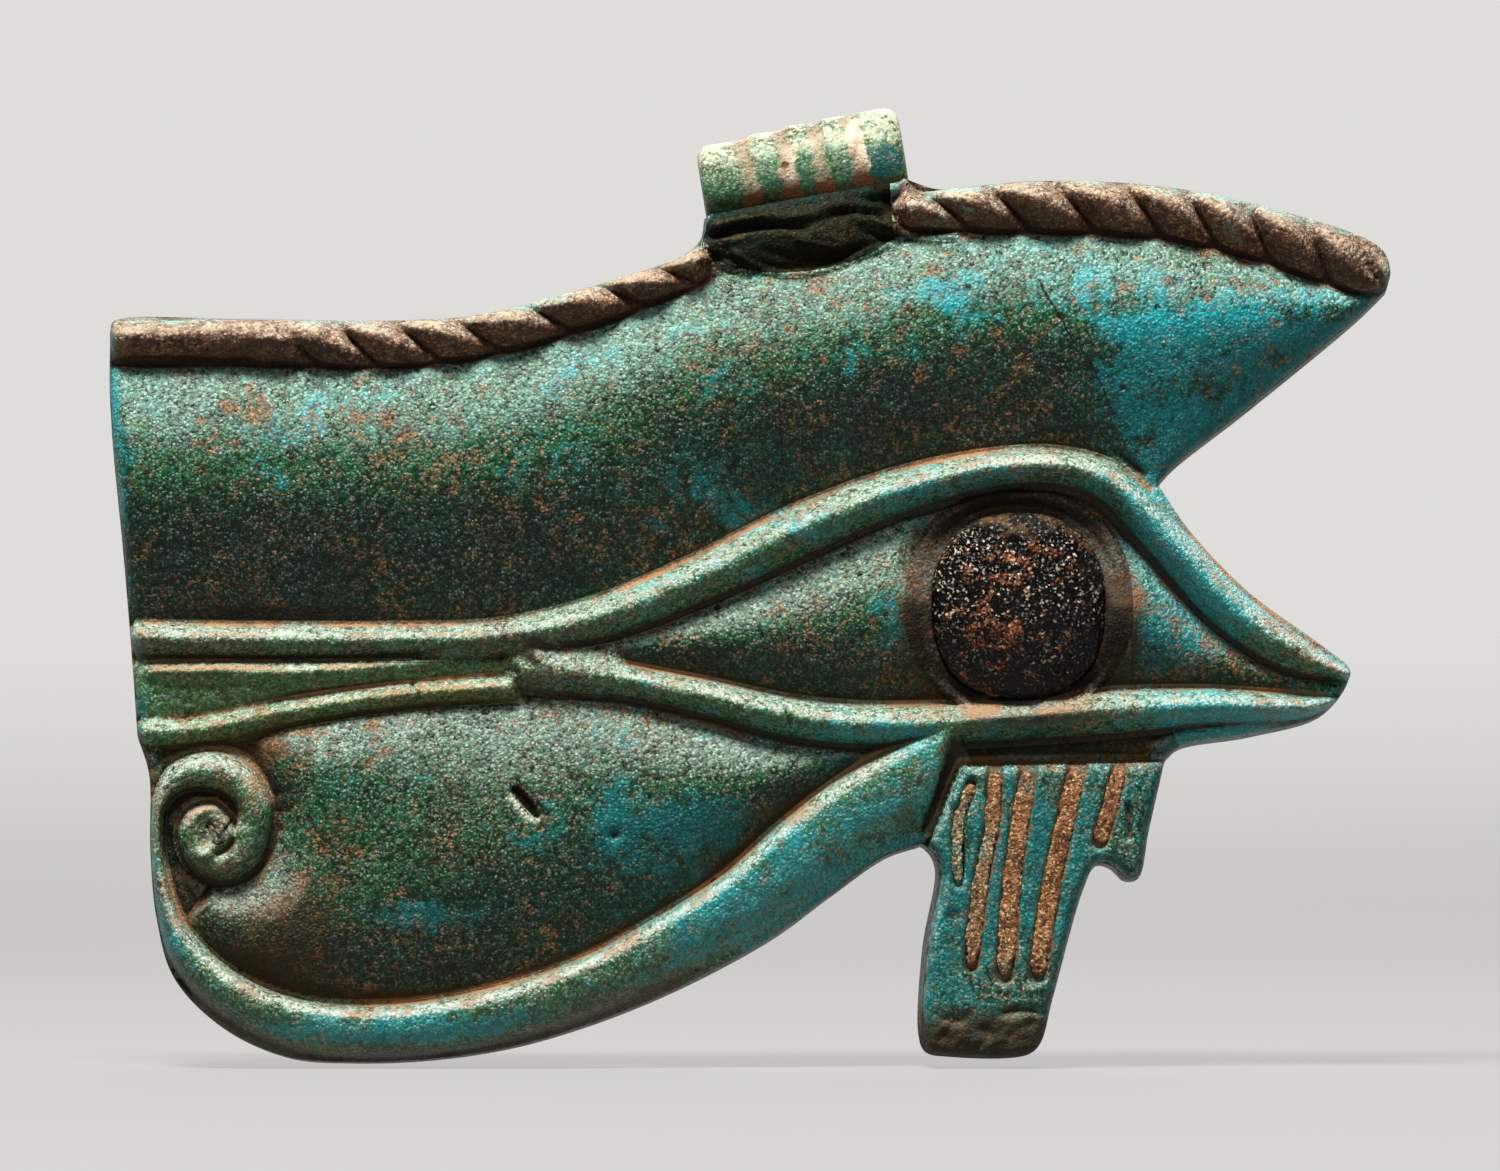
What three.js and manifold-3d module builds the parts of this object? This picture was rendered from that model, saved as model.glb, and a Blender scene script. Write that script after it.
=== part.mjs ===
import * as THREE from 'three';
import { mergeVertices } from 'three/addons/utils/BufferGeometryUtils.js';
import Module from 'manifold-3d';

// Wedjat eye amulet of glazed faience, built up of paste pieces luted on a cut-out ground plate.
// Millimetres, +Z up as it hangs, front towards -Y, origin at the middle of the suspension bore.

// Overall sizes
const amuletWidth = 60;
const amuletHeight = 44.7;
const plateThickness = 4;
const plateFront = -1.5; // depth of the plate's front face, ahead of the bore's axis
const joinGap = 0.3; // clearance of a piece that is cut or fitted to its neighbour
const overrun = 1; // how far a cutter passes the face that it cuts
const weldDistance = 0.0001;

// Suspension tube
const tubeLength = 9.6;
const tubeSmallRadius = 1.95;
const tubeBigRadius = 2.4;
const boreRadius = 0.95;
const tubeTilt = THREE.MathUtils.degToRad(9);
const tubeGrooveWidth = 0.75;
const tubeGrooveDepth = 0.28;
const tubeEndRound = 0.45;
const tubeGrooveShares = [0.22, 0.42, 0.58, 0.76];
const tubeSegments = 24;

// Coils: widths across and rises above the plate's front
const upperLidWidth = 2.3;
const upperLidRise = 2;
const lowerLidWidth = 2.1;
const lowerLidRise = 1.9;
const lowerTailWidth = 1.2;
const lowerTailRise = 1.1;
const cheekBandWidth = 2.5;
const cheekBandRise = 1.9;
const ropeWidth = 2.5;
const ropeRise = 1.8;
const ropePitch = 3.1;
const ropeCutDepth = 0.85;
const ropeLean = 0.45; // turns of the lay from one side of the rope to the other
const ropeFadeShare = 0.15; // share of the rope's length over which the lay grows out of its plain end
const ropeLeftPlainShare = 0.1;
const ropeRightPlainShare = 0;
const ropeCutSharpness = 3;
const saddleWidth = 2.6;
const saddleRise = 1.1;

// Fields: rises of the crown and of the edges
const browCrown = 1.7;
const browEdge = 0.5;
const cheekCrown = 1.5;
const cheekEdge = 0.4;
const whiteCrown = 1.4;
const whiteEdge = 0.5;
const tailCrown = 0.8;
const tailEdge = 0.35;
const leastFieldSpan = 0.2;

// Pupil and its rim
const pupilHalfWidth = 4.05;
const pupilRise = 2.5;
const pupilSunk = 0.36; // how far the pupil's circle runs behind the lower lid's clearance
const rimWidth = 0.6;
const rimRise = 1.5;
const rimMargin = 0.25; // room between the rim's top and the upper lid's clearance
const pupilSegments = 28;
const rimSegments = 32;

// Drop below the eye and its fills
const dropRise = 1.625;
const dropGap = 0.8; // groove between the cheek band's end and the drop
const fillFloor = 0.875; // rise of the flute's floor above the plate
const fillRise = 0.55;
const fluteWidth = 1.1;
const fluteClearance = 0.2;

// Steps of the lofts along the coils and fields
const upperLidSteps = 42;
const lowerLidSteps = 30;
const lowerTailSteps = 12;
const cheekBandSteps = 76;
const ropeLeftSteps = 66;
const ropeRightSteps = 56;
const saddleSteps = 14;
const fluteSteps = 10;
const browSteps = 32;
const cheekSteps = 30;
const whiteSteps = 14;
const tailSteps = 12;
const fieldColumns = 6;
const outlineStepsPerPoint = 2;

// Outlines and courses, as shares of the amulet's width and height from its lower left corner
const boreShare = [0.542, 0.931];
const outlineShares = [
  // top left, along the rope to the neck
  [[0.002, 0.762], [0.004, 0.775], [0.012, 0.780], [0.114, 0.779], [0.230, 0.778], [0.292, 0.784],
    [0.354, 0.804], [0.416, 0.829], [0.448, 0.845], [0.462, 0.862], [0.465, 0.887]],
  [[0.465, 0.887], [0.625, 0.928]],
  // right rope to the brow's tip
  [[0.625, 0.928], [0.632, 0.913], [0.648, 0.914], [0.725, 0.923], [0.818, 0.918], [0.911, 0.893],
    [0.985, 0.859], [0.997, 0.843], [1.000, 0.825], [0.997, 0.805]],
  // slanted cut below the brow's tip
  [[0.997, 0.805], [0.974, 0.775], [0.889, 0.681], [0.830, 0.619], [0.820, 0.604]],
  // lids to their corner and back
  [[0.820, 0.604], [0.844, 0.557], [0.889, 0.494], [0.952, 0.432], [0.968, 0.413], [0.967, 0.399],
    [0.956, 0.375], [0.940, 0.358], [0.888, 0.340], [0.834, 0.327], [0.824, 0.315]],
];
const dropOutlineShares = [
  [[0.824, 0.315], [0.812, 0.245], [0.803, 0.192], [0.792, 0.190], [0.781, 0.203], [0.770, 0.206],
    [0.761, 0.183], [0.737, 0.069], [0.727, 0.021], [0.717, 0.009], [0.656, 0.007], [0.637, 0.012],
    [0.632, 0.029], [0.635, 0.120], [0.645, 0.201], [0.641, 0.217], [0.634, 0.226]],
];
const dropTopShares = [[0.661, 0.309], [0.824, 0.315]];
const cheekOutlineShares = [
  [[0.634, 0.226], [0.607, 0.214], [0.563, 0.173], [0.516, 0.127], [0.423, 0.063], [0.330, 0.020],
    [0.261, 0.004], [0.191, 0.000], [0.141, 0.006], [0.091, 0.037], [0.053, 0.089], [0.039, 0.152],
    [0.034, 0.224], [0.033, 0.302], [0.024, 0.341]],
  [[0.024, 0.341], [0.019, 0.432], [0.011, 0.557], [0.002, 0.692], [0.002, 0.762]],
];

// Courses of the coils: place across and up, share of the coil's width, share of its rise
const upperLidShares = [
  [0.019, 0.442, 0.73, 0.65], [0.114, 0.440, 0.73, 0.65], [0.230, 0.440, 0.73, 0.65],
  [0.307, 0.443, 0.76, 0.68], [0.385, 0.463, 0.92, 0.8], [0.462, 0.503, 1.04, 0.9],
  [0.539, 0.552, 1.12, 1], [0.617, 0.594, 0.97, 1], [0.694, 0.618, 0.82, 1],
  [0.741, 0.619, 0.82, 1], [0.779, 0.602, 0.88, 1], [0.826, 0.538, 1, 1],
  [0.873, 0.471, 1, 0.97], [0.919, 0.429, 0.86, 0.9], [0.962, 0.405, 0.3, 0.6],
];
const lowerLidShares = [
  [0.327, 0.407, 0.8, 0.6], [0.354, 0.407, 0.95, 0.7], [0.400, 0.400, 0.84, 0.8],
  [0.462, 0.383, 0.88, 0.9], [0.539, 0.359, 1, 1], [0.617, 0.352, 1.02, 1],
  [0.694, 0.358, 1.06, 1], [0.772, 0.366, 1.1, 1], [0.849, 0.372, 0.92, 0.97],
  [0.926, 0.372, 0.62, 0.85], [0.953, 0.377, 0.3, 0.6],
];
const lowerTailShares = [
  [0.025, 0.345, 1, 1], [0.075, 0.348, 1.04, 1], [0.152, 0.369, 1, 1],
  [0.230, 0.384, 0.93, 1], [0.316, 0.393, 0.93, 1],
];
const cheekBandShares = [
  [0.095, 0.259, 0.15, 0.55], [0.083, 0.268, 0.3, 0.6], [0.070, 0.259, 0.37, 0.65],
  [0.066, 0.237, 0.41, 0.7], [0.074, 0.214, 0.5, 0.75], [0.091, 0.206, 0.6, 0.8],
  [0.109, 0.216, 0.63, 0.85], [0.119, 0.245, 0.63, 0.9], [0.117, 0.279, 0.63, 0.9],
  [0.103, 0.301, 0.63, 0.9], [0.083, 0.309, 0.6, 0.9], [0.060, 0.301, 0.48, 0.85],
  [0.045, 0.276, 0.34, 0.8], [0.041, 0.235, 0.32, 0.75], [0.044, 0.188, 0.44, 0.8],
  [0.053, 0.141, 0.64, 0.85], [0.075, 0.100, 0.8, 0.9], [0.110, 0.064, 0.92, 1],
  [0.160, 0.039, 1.04, 1], [0.230, 0.035, 1.06, 1], [0.307, 0.051, 1.1, 1], [0.378, 0.081, 1.15, 1],
  [0.441, 0.124, 1.23, 1], [0.496, 0.166, 1.41, 1], [0.543, 0.215, 1.6, 1],
  [0.588, 0.258, 1.71, 1], [0.640, 0.297, 1.76, 1], [0.690, 0.330, 1.76, 1],
];
const ropeLeftShares = [
  [0.003, 0.753, 0.92, 0.9], [0.114, 0.753, 0.92, 0.9], [0.230, 0.752, 0.96, 0.9],
  [0.307, 0.767, 0.96, 1], [0.385, 0.797, 0.92, 1], [0.450, 0.828, 0.8, 0.9],
];
const ropeRightShares = [
  [0.634, 0.888, 0.8, 0.9], [0.694, 0.893, 1, 1], [0.756, 0.893, 1.04, 1],
  [0.818, 0.888, 1.04, 1], [0.880, 0.872, 1.08, 1], [0.934, 0.849, 1.08, 1],
  [0.972, 0.828, 0.96, 0.9], [0.990, 0.818, 0.6, 0.7],
];
const saddleShares = [
  [0.466, 0.850, 0.2, 0.6], [0.497, 0.851, 0.75, 0.9], [0.539, 0.856, 1, 1],
  [0.581, 0.863, 0.78, 0.9], [0.612, 0.872, 0.3, 0.6],
];
const pupilAcrossShare = 0.7082;
const whiteReachShare = 0.7; // where a white ends behind the rim, as a share of the rim's reach
const fluteShares = [
  [[0.672, 0.292], [0.662, 0.252], [0.661, 0.190]],
  [[0.694, 0.302], [0.688, 0.245], [0.680, 0.200], [0.670, 0.105]],
  [[0.722, 0.303], [0.711, 0.250], [0.704, 0.193], [0.698, 0.095]],
  [[0.752, 0.304], [0.744, 0.255], [0.735, 0.200], [0.722, 0.095]],
  [[0.785, 0.306], [0.778, 0.268], [0.770, 0.232]],
];

// Ranges of the coils' courses that edge the fields, as shares of a course's length
const browLidRangeShares = [0, 0.735];
const browSaddleRangeShares = [0.3, 0.8];
const eyeCornerShares = [0.405, 0.955];
const lidCornerShares = [0.115, 0.955];
const tailLidRangeShares = [0, 0.265];
const curlRangeShares = [0.062, 0.15];
const cheekTailRangeShares = [0.44, 0.97];
const cheekLidRangeShares = [0.03, 0.47];
const cheekBandRangeShares = [0.395, 0.925];

// Colours of the glaze
const glazes = {
  turquoise: { color: 0x3f8f86, roughness: 0.45 },
  olive: { color: 0x4d7a5f, roughness: 0.5 },
  brow: { color: 0x3c7a70, roughness: 0.5 },
  rope: { color: 0x6b5548, roughness: 0.6 },
  pale: { color: 0x8fb09a, roughness: 0.5 },
  dark: { color: 0x31453c, roughness: 0.55 },
  pupil: { color: 0x2a211c, roughness: 0.4 },
  fill: { color: 0x9a6a45, roughness: 0.8 },
  body: { color: 0x5f8f80, roughness: 0.6 },
};

// A place given in shares, as a point of the plan in millimetres
function placed([across, up]) {
  return new THREE.Vector2((across - boreShare[0]) * amuletWidth, (up - boreShare[1]) * amuletHeight);
}

// Smooth course through shares of the amulet's size
function courseThrough(shares) {
  const points = shares.map((share) => {
    const place = placed(share);
    return new THREE.Vector3(place.x, 0, place.y);
  });
  return new THREE.CatmullRomCurve3(points, false, 'centripetal');
}

// A column of a course's table at a share of its length
function columnAt(coil, column, along) {
  const last = coil.shares.length - 1;
  const place = coil.course.getUtoTmapping(along) * last;
  const low = Math.min(Math.floor(place), last - 1);
  return THREE.MathUtils.lerp(coil.shares[low][column], coil.shares[low + 1][column], place - low);
}

function coilOf(shares, width, rise, steps) {
  return { shares, width, rise, steps, course: courseThrough(shares) };
}

// Place, sideways direction, half width and rise of a coil at a share of its length
function stationOf(coil, along) {
  const centre = coil.course.getPointAt(along);
  const ahead = coil.course.getTangentAt(along);
  return {
    centre: new THREE.Vector2(centre.x, centre.z),
    side: new THREE.Vector2(-ahead.z, ahead.x).normalize(),
    half: (coil.width * columnAt(coil, 2, along)) / 2,
    rise: coil.rise * columnAt(coil, 3, along),
  };
}

// Line beside a coil over a range of its course: side 1 is to the left of its way, -1 to the right
function lineBeside(coil, side, rangeShares, steps) {
  const line = [];
  for (let step = 0; step <= steps; step += 1) {
    const along = THREE.MathUtils.lerp(rangeShares[0], rangeShares[1], step / steps);
    const { centre, side: across, half } = stationOf(coil, along);
    line.push(centre.clone().addScaledVector(across, side * (half + joinGap)));
  }
  return line;
}

// Merges a closed geometry's shared vertices and drops the faces that shrink to a line at a pole
function welded(geometry) {
  const bare = geometry.clone();
  bare.deleteAttribute('normal');
  bare.deleteAttribute('uv');
  const merged = mergeVertices(bare, weldDistance);
  const order = merged.index.array;
  const kept = [];
  for (let at = 0; at < order.length; at += 3) {
    const [a, b, c] = order.slice(at, at + 3);
    if (a !== b && b !== c && c !== a) {
      kept.push(a, b, c);
    }
  }
  merged.setIndex(kept);
  return merged;
}

// Turns the faces outwards where a closed geometry came out inside out
function facingOut(geometry) {
  const place = geometry.getAttribute('position');
  const order = geometry.index.array;
  const corners = [new THREE.Vector3(), new THREE.Vector3(), new THREE.Vector3()];
  let volume = 0;
  for (let at = 0; at < order.length; at += 3) {
    corners.forEach((corner, turn) => corner.fromBufferAttribute(place, order[at + turn]));
    volume += corners[0].dot(corners[1].clone().cross(corners[2]));
  }
  if (volume < 0) {
    for (let at = 0; at < order.length; at += 3) {
      [order[at], order[at + 1]] = [order[at + 1], order[at]];
    }
  }
  return geometry;
}

// Closed skin through rings of equal count, with both ends capped
function loft(rings) {
  const count = rings[0].length;
  const places = rings.flat().flatMap((point) => [point.x, point.y, point.z]);
  const faces = [];
  for (let ring = 0; ring + 1 < rings.length; ring += 1) {
    for (let at = 0; at < count; at += 1) {
      const a = ring * count + at;
      const b = ring * count + ((at + 1) % count);
      faces.push(a, b, b + count, a, b + count, a + count);
    }
  }
  [0, rings.length - 1].forEach((ring) => {
    const origin = rings[ring][0];
    const flat = rings[ring].map((point) => new THREE.Vector2(
      Math.hypot(point.x - origin.x, point.z - origin.z),
      -point.y,
    ));
    THREE.ShapeUtils.triangulateShape(flat, []).forEach((face) => {
      const corners = face.toSorted((one, other) => (ring === 0 ? other - one : one - other));
      faces.push(...corners.map((corner) => corner + ring * count));
    });
  });
  const geometry = new THREE.BufferGeometry();
  geometry.setAttribute('position', new THREE.Float32BufferAttribute(places, 3));
  geometry.setIndex(faces);
  return facingOut(geometry);
}

// Sections as shares of half width and rise, from one foot over the crown to the other
const wallShare = 0.3; // upright part of a coil's side
const sectionTurns = 6;
const roundSectionShares = [[1, 0]];
for (let turn = 0; turn <= sectionTurns; turn += 1) {
  const angle = (Math.PI * turn) / sectionTurns;
  roundSectionShares.push([Math.cos(angle), wallShare + (1 - wallShare) * Math.sin(angle)]);
}
roundSectionShares.push([-1, 0]);
const squareSectionShares = [[1, 0], [1, 1], [-1, 1], [-1, 0]];
const domeSectionShares = [
  [1, 0.25], [0.966, 0.44], [0.866, 0.62], [0.707, 0.78], [0.5, 0.9], [0.259, 0.975], [0, 1],
];

// Coil laid on a floor. relief(along, across) gives the share of the rise that is left there
function laidCoil(coil, options = {}) {
  const { clearance = 0, floor = 0, sink = 0, section = roundSectionShares, relief = () => 1 } = options;
  const rings = [];
  for (let step = 0; step <= coil.steps; step += 1) {
    const along = step / coil.steps;
    const { centre, side, half, rise } = stationOf(coil, along);
    rings.push(section.map(([across, up]) => {
      const plan = centre.clone().addScaledVector(side, across * (half + clearance));
      const height = up === 0 ? -sink : (rise + clearance) * up * relief(along, across);
      return new THREE.Vector3(plan.x, plateFront - floor - height, plan.y);
    }));
  }
  return loft(rings);
}

// Point at a share of a line's length
function pointOn(line, along) {
  const lengths = [0];
  for (let at = 1; at < line.length; at += 1) {
    lengths.push(lengths[at - 1] + line[at].distanceTo(line[at - 1]));
  }
  const reach = along * lengths[lengths.length - 1];
  let at = 1;
  while (at < line.length - 1 && lengths[at] < reach) {
    at += 1;
  }
  const part = (reach - lengths[at - 1]) / (lengths[at] - lengths[at - 1]);
  return line[at - 1].clone().lerp(line[at], part);
}

// Level of a line where it crosses a place across the amulet
function levelAt(line, across) {
  const at = Math.max(line.findIndex((point) => point.x >= across), 1);
  const part = (across - line[at - 1].x) / (line[at].x - line[at - 1].x);
  return THREE.MathUtils.lerp(line[at - 1].y, line[at].y, part);
}

// Crowned field between a lower and an upper line
function crownedField(lower, upper, crown, edge, steps) {
  const rings = [];
  for (let step = 0; step <= steps; step += 1) {
    const foot = pointOn(lower, step / steps);
    const head = pointOn(upper, step / steps);
    if (foot.distanceTo(head) > leastFieldSpan) {
      const ring = [new THREE.Vector3(foot.x, plateFront, foot.y)];
      for (let column = 0; column <= fieldColumns; column += 1) {
        const across = column / fieldColumns;
        const plan = foot.clone().lerp(head, across);
        const rise = edge + (crown - edge) * Math.sin(Math.PI * across);
        ring.push(new THREE.Vector3(plan.x, plateFront - rise, plan.y));
      }
      ring.push(new THREE.Vector3(head.x, plateFront, head.y));
      rings.push(ring);
    }
  }
  return loft(rings);
}

// Slab with a polygon's outline, from a floor above the plate's front to a rise above that floor
function slab(outline, floor, rise) {
  const geometry = new THREE.ExtrudeGeometry(new THREE.Shape(outline), { depth: rise, bevelEnabled: false });
  geometry.rotateX(Math.PI / 2);
  geometry.translate(0, plateFront - floor, 0);
  return geometry;
}

const wasm = await Module();
wasm.setup();

// Geometry to a solid that can be cut, and back
function solidOf(geometry) {
  const merged = welded(geometry);
  return new wasm.Manifold(new wasm.Mesh({
    numProp: 3,
    vertProperties: new Float32Array(merged.getAttribute('position').array),
    triVerts: new Uint32Array(merged.index.array),
  }));
}

function geometryOf(solid) {
  const { vertProperties, triVerts } = solid.getMesh();
  const geometry = new THREE.BufferGeometry();
  geometry.setAttribute('position', new THREE.BufferAttribute(vertProperties, 3));
  geometry.setIndex(new THREE.BufferAttribute(triVerts, 1));
  return geometry;
}

function cutBy(geometry, ...cutters) {
  let solid = solidOf(geometry);
  cutters.forEach((cutter) => {
    solid = solid.subtract(solidOf(cutter));
  });
  return geometryOf(solid);
}

// Points along runs of shares, smooth within a run and cornered between runs
function outlineOf(runs) {
  const line = [];
  runs.forEach((run) => {
    const course = courseThrough(run);
    const steps = (run.length - 1) * outlineStepsPerPoint;
    for (let step = 0; step < steps; step += 1) {
      const point = course.getPoint(step / steps);
      line.push(new THREE.Vector2(point.x, point.z));
    }
  });
  return line;
}

// Coils
const upperLid = coilOf(upperLidShares, upperLidWidth, upperLidRise, upperLidSteps);
const lowerLid = coilOf(lowerLidShares, lowerLidWidth, lowerLidRise, lowerLidSteps);
const lowerTail = coilOf(lowerTailShares, lowerTailWidth, lowerTailRise, lowerTailSteps);
const cheekBand = coilOf(cheekBandShares, cheekBandWidth, cheekBandRise, cheekBandSteps);
const ropeLeft = coilOf(ropeLeftShares, ropeWidth, ropeRise, ropeLeftSteps);
const ropeRight = coilOf(ropeRightShares, ropeWidth, ropeRise, ropeRightSteps);
const saddle = coilOf(saddleShares, saddleWidth, saddleRise, saddleSteps);

function envelopeOf(coil) {
  return laidCoil(coil, { clearance: joinGap, sink: overrun });
}

// Rope lay: slanting cuts at an even pitch, fading out towards the plain end
function ropeRelief(coil, plainShare) {
  const turns = coil.course.getLength() / ropePitch;
  return (along, across) => {
    const wave = (1 + Math.cos(2 * Math.PI * (along * turns + ropeLean * across))) / 2;
    const grown = THREE.MathUtils.smoothstep(along, plainShare, plainShare + ropeFadeShare);
    return 1 - (ropeCutDepth / coil.rise) * wave ** ropeCutSharpness * grown;
  };
}

// Fields between the coils
const notch = placed(outlineShares[4][0]);
const browTip = placed(outlineShares[3][0]);
const browLower = [...lineBeside(upperLid, 1, browLidRangeShares, 36), notch, browTip];
const browUpper = [
  ...lineBeside(ropeLeft, -1, [0, 1], 20),
  ...lineBeside(saddle, -1, browSaddleRangeShares, 6),
  ...lineBeside(ropeRight, -1, [0, 1], 20),
];
const whiteUpper = lineBeside(upperLid, -1, eyeCornerShares, 30);
const whiteLower = lineBeside(lowerLid, 1, lidCornerShares, 30);
const pupilAcross = placed([pupilAcrossShare, 0]).x;
const pupilTop = levelAt(whiteUpper, pupilAcross) - rimMargin - rimWidth;
const pupilFoot = levelAt(whiteLower, pupilAcross) - pupilSunk;
const pupilHalfHeight = (pupilTop - pupilFoot) / 2;
const pupilPlace = new THREE.Vector2(pupilAcross, (pupilTop + pupilFoot) / 2);
const tailUpper = lineBeside(upperLid, -1, tailLidRangeShares, 12);
const tailLower = lineBeside(lowerTail, 1, [0, 1], 12);
const cheekUpper = [
  ...lineBeside(cheekBand, -1, curlRangeShares, 8),
  ...lineBeside(lowerTail, -1, cheekTailRangeShares, 8),
  ...lineBeside(lowerLid, -1, cheekLidRangeShares, 14),
];
const cheekLower = lineBeside(cheekBand, 1, cheekBandRangeShares, 30);

// Ribbed suspension tube: a ring profile turned about its axis, with the wider end to the right
function tubeRadiusAt(along) {
  return THREE.MathUtils.lerp(tubeSmallRadius, tubeBigRadius, along);
}

function tubeGeometry() {
  const profile = [[boreRadius, 0], [tubeRadiusAt(0) - tubeEndRound, 0], [tubeRadiusAt(0), tubeEndRound]];
  tubeGrooveShares.forEach((share) => {
    const middle = share * tubeLength;
    const radius = tubeRadiusAt(share);
    profile.push([radius, middle - tubeGrooveWidth / 2]);
    profile.push([radius - tubeGrooveDepth, middle]);
    profile.push([radius, middle + tubeGrooveWidth / 2]);
  });
  profile.push([tubeRadiusAt(1), tubeLength - tubeEndRound]);
  profile.push([tubeRadiusAt(1) - tubeEndRound, tubeLength]);
  profile.push([boreRadius, tubeLength]);
  profile.push([boreRadius, 0]);
  const points = profile.map(([radius, along]) => new THREE.Vector2(radius, along - tubeLength / 2));
  return turned(points);
}

// Lathe shape laid along X, with its seam merged
function turned(points) {
  const geometry = new THREE.LatheGeometry(points, tubeSegments);
  geometry.rotateZ(-Math.PI / 2);
  return facingOut(welded(geometry));
}

function tubeClearance() {
  const reach = tubeLength / 2 + joinGap;
  return turned([
    new THREE.Vector2(0, -reach),
    new THREE.Vector2(tubeSmallRadius + joinGap, -reach),
    new THREE.Vector2(tubeBigRadius + joinGap, reach),
    new THREE.Vector2(0, reach),
  ]).rotateY(-tubeTilt);
}

// Dome of the pupil, an ellipse in plan
function domeGeometry(halfWidth, halfHeight, rise) {
  const points = [new THREE.Vector2(0, 0), new THREE.Vector2(1, 0)];
  domeSectionShares.forEach(([out, up]) => points.push(new THREE.Vector2(out, up)));
  const geometry = new THREE.LatheGeometry(points, pupilSegments);
  geometry.rotateX(Math.PI);
  geometry.scale(halfWidth, rise, halfHeight);
  geometry.translate(pupilPlace.x, plateFront, pupilPlace.y);
  return facingOut(welded(geometry));
}

// Block with the pupil's outline and a margin round it
function pupilBlock(margin, floor, rise) {
  const outline = [];
  for (let turn = 0; turn < rimSegments; turn += 1) {
    const angle = (2 * Math.PI * turn) / rimSegments;
    outline.push(new THREE.Vector2(
      pupilPlace.x + (pupilHalfWidth + margin) * Math.cos(angle),
      pupilPlace.y + (pupilHalfHeight + margin) * Math.sin(angle),
    ));
  }
  return slab(outline, floor, rise);
}

// White of the eye between the lids and two places across, clear of the pupil's rim
function whiteGeometry(from, to) {
  const across = [];
  for (let step = 0; step <= whiteSteps; step += 1) {
    across.push(THREE.MathUtils.lerp(from, to, step / whiteSteps));
  }
  const lower = across.map((place) => new THREE.Vector2(place, levelAt(whiteLower, place)));
  const upper = across.map((place) => new THREE.Vector2(place, levelAt(whiteUpper, place)));
  const clear = pupilBlock(rimWidth + joinGap, -overrun, whiteCrown + 2 * overrun);
  return cutBy(crownedField(lower, upper, whiteCrown, whiteEdge, whiteSteps), clear);
}

// Everything on the drop's side of the groove that parts the cheek band's end from the drop
function dropSide() {
  const foot = placed(dropOutlineShares[0].at(-1));
  const head = placed(dropTopShares[0]);
  const up = head.clone().sub(foot).normalize();
  const outwards = new THREE.Vector2(-up.y, up.x);
  const reach = cheekBandWidth * 2;
  const outline = [
    foot.clone().addScaledVector(up, -reach).addScaledVector(outwards, dropGap),
    foot.clone().addScaledVector(up, -reach).addScaledVector(outwards, -reach),
    head.clone().addScaledVector(up, reach).addScaledVector(outwards, -reach),
    head.clone().addScaledVector(up, reach).addScaledVector(outwards, dropGap),
  ];
  return slab(outline, -overrun, cheekBandRise + 2 * overrun);
}

// Ribbed drop: a slab with the plate's outline, fluted from its top
function fluteCoil(shares, width, rise) {
  const full = shares.map(([across, up]) => [across, up, 1, 1]);
  return coilOf(full, width, rise, fluteSteps);
}

function dropGeometry() {
  const outline = outlineOf(dropOutlineShares);
  const cutters = fluteShares.map((shares) => laidCoil(fluteCoil(shares, fluteWidth, dropRise), {
    floor: fillFloor,
    section: squareSectionShares,
  }));
  const whole = slab([...outline, ...dropTopShares.map(placed)], 0, dropRise);
  return cutBy(whole, ...cutters, envelopeOf(lowerLid));
}

const group = new THREE.Group();

function add(name, geometry, glaze) {
  const material = new THREE.MeshStandardMaterial({ ...glazes[glaze], metalness: 0 });
  const mesh = new THREE.Mesh(geometry, material);
  mesh.name = name;
  group.add(mesh);
  return mesh;
}

const wholeOutline = outlineOf([...outlineShares, ...dropOutlineShares, ...cheekOutlineShares]);
add('ground_plate', cutBy(slab(wholeOutline, -plateThickness, plateThickness), tubeClearance()), 'body');

const tube = add('suspension_tube', tubeGeometry(), 'pale');
tube.rotation.y = -tubeTilt;

add('brow_band', crownedField(browLower, browUpper, browCrown, browEdge, browSteps), 'brow');
add('brow_rope_left', laidCoil(ropeLeft, { relief: ropeRelief(ropeLeft, ropeLeftPlainShare) }), 'rope');
add('brow_rope_right', laidCoil(ropeRight, { relief: ropeRelief(ropeRight, ropeRightPlainShare) }), 'rope');
add('tube_saddle', laidCoil(saddle), 'dark');
add('upper_lid', laidCoil(upperLid), 'turquoise');
add('lower_lid', cutBy(laidCoil(lowerLid), envelopeOf(upperLid)), 'turquoise');
add('lower_tail', cutBy(laidCoil(lowerTail), envelopeOf(lowerLid)), 'olive');
add('tail_panel', crownedField(tailLower, tailUpper, tailCrown, tailEdge, tailSteps), 'olive');

const whiteReach = whiteReachShare * (pupilHalfWidth + rimWidth + joinGap);
const innerCorner = Math.max(whiteLower[0].x, whiteUpper[0].x);
const outerCorner = Math.min(whiteLower.at(-1).x, whiteUpper.at(-1).x);
add('eye_white_inner', whiteGeometry(innerCorner, pupilAcross - whiteReach), 'olive');
add('eye_white_outer', whiteGeometry(pupilAcross + whiteReach, outerCorner), 'olive');
const rimHole = pupilBlock(joinGap / 2, -overrun, rimRise + 2 * overrun);
const rimBlock = pupilBlock(rimWidth, 0, rimRise);
add('pupil_rim', cutBy(rimBlock, rimHole, envelopeOf(lowerLid), envelopeOf(upperLid)), 'dark');
add('pupil', cutBy(domeGeometry(pupilHalfWidth, pupilHalfHeight, pupilRise), envelopeOf(lowerLid)), 'pupil');

add('cheek_panel', crownedField(cheekLower, cheekUpper, cheekCrown, cheekEdge, cheekSteps), 'olive');
add('cheek_band', cutBy(laidCoil(cheekBand), envelopeOf(lowerLid), dropSide()), 'turquoise');

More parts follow.
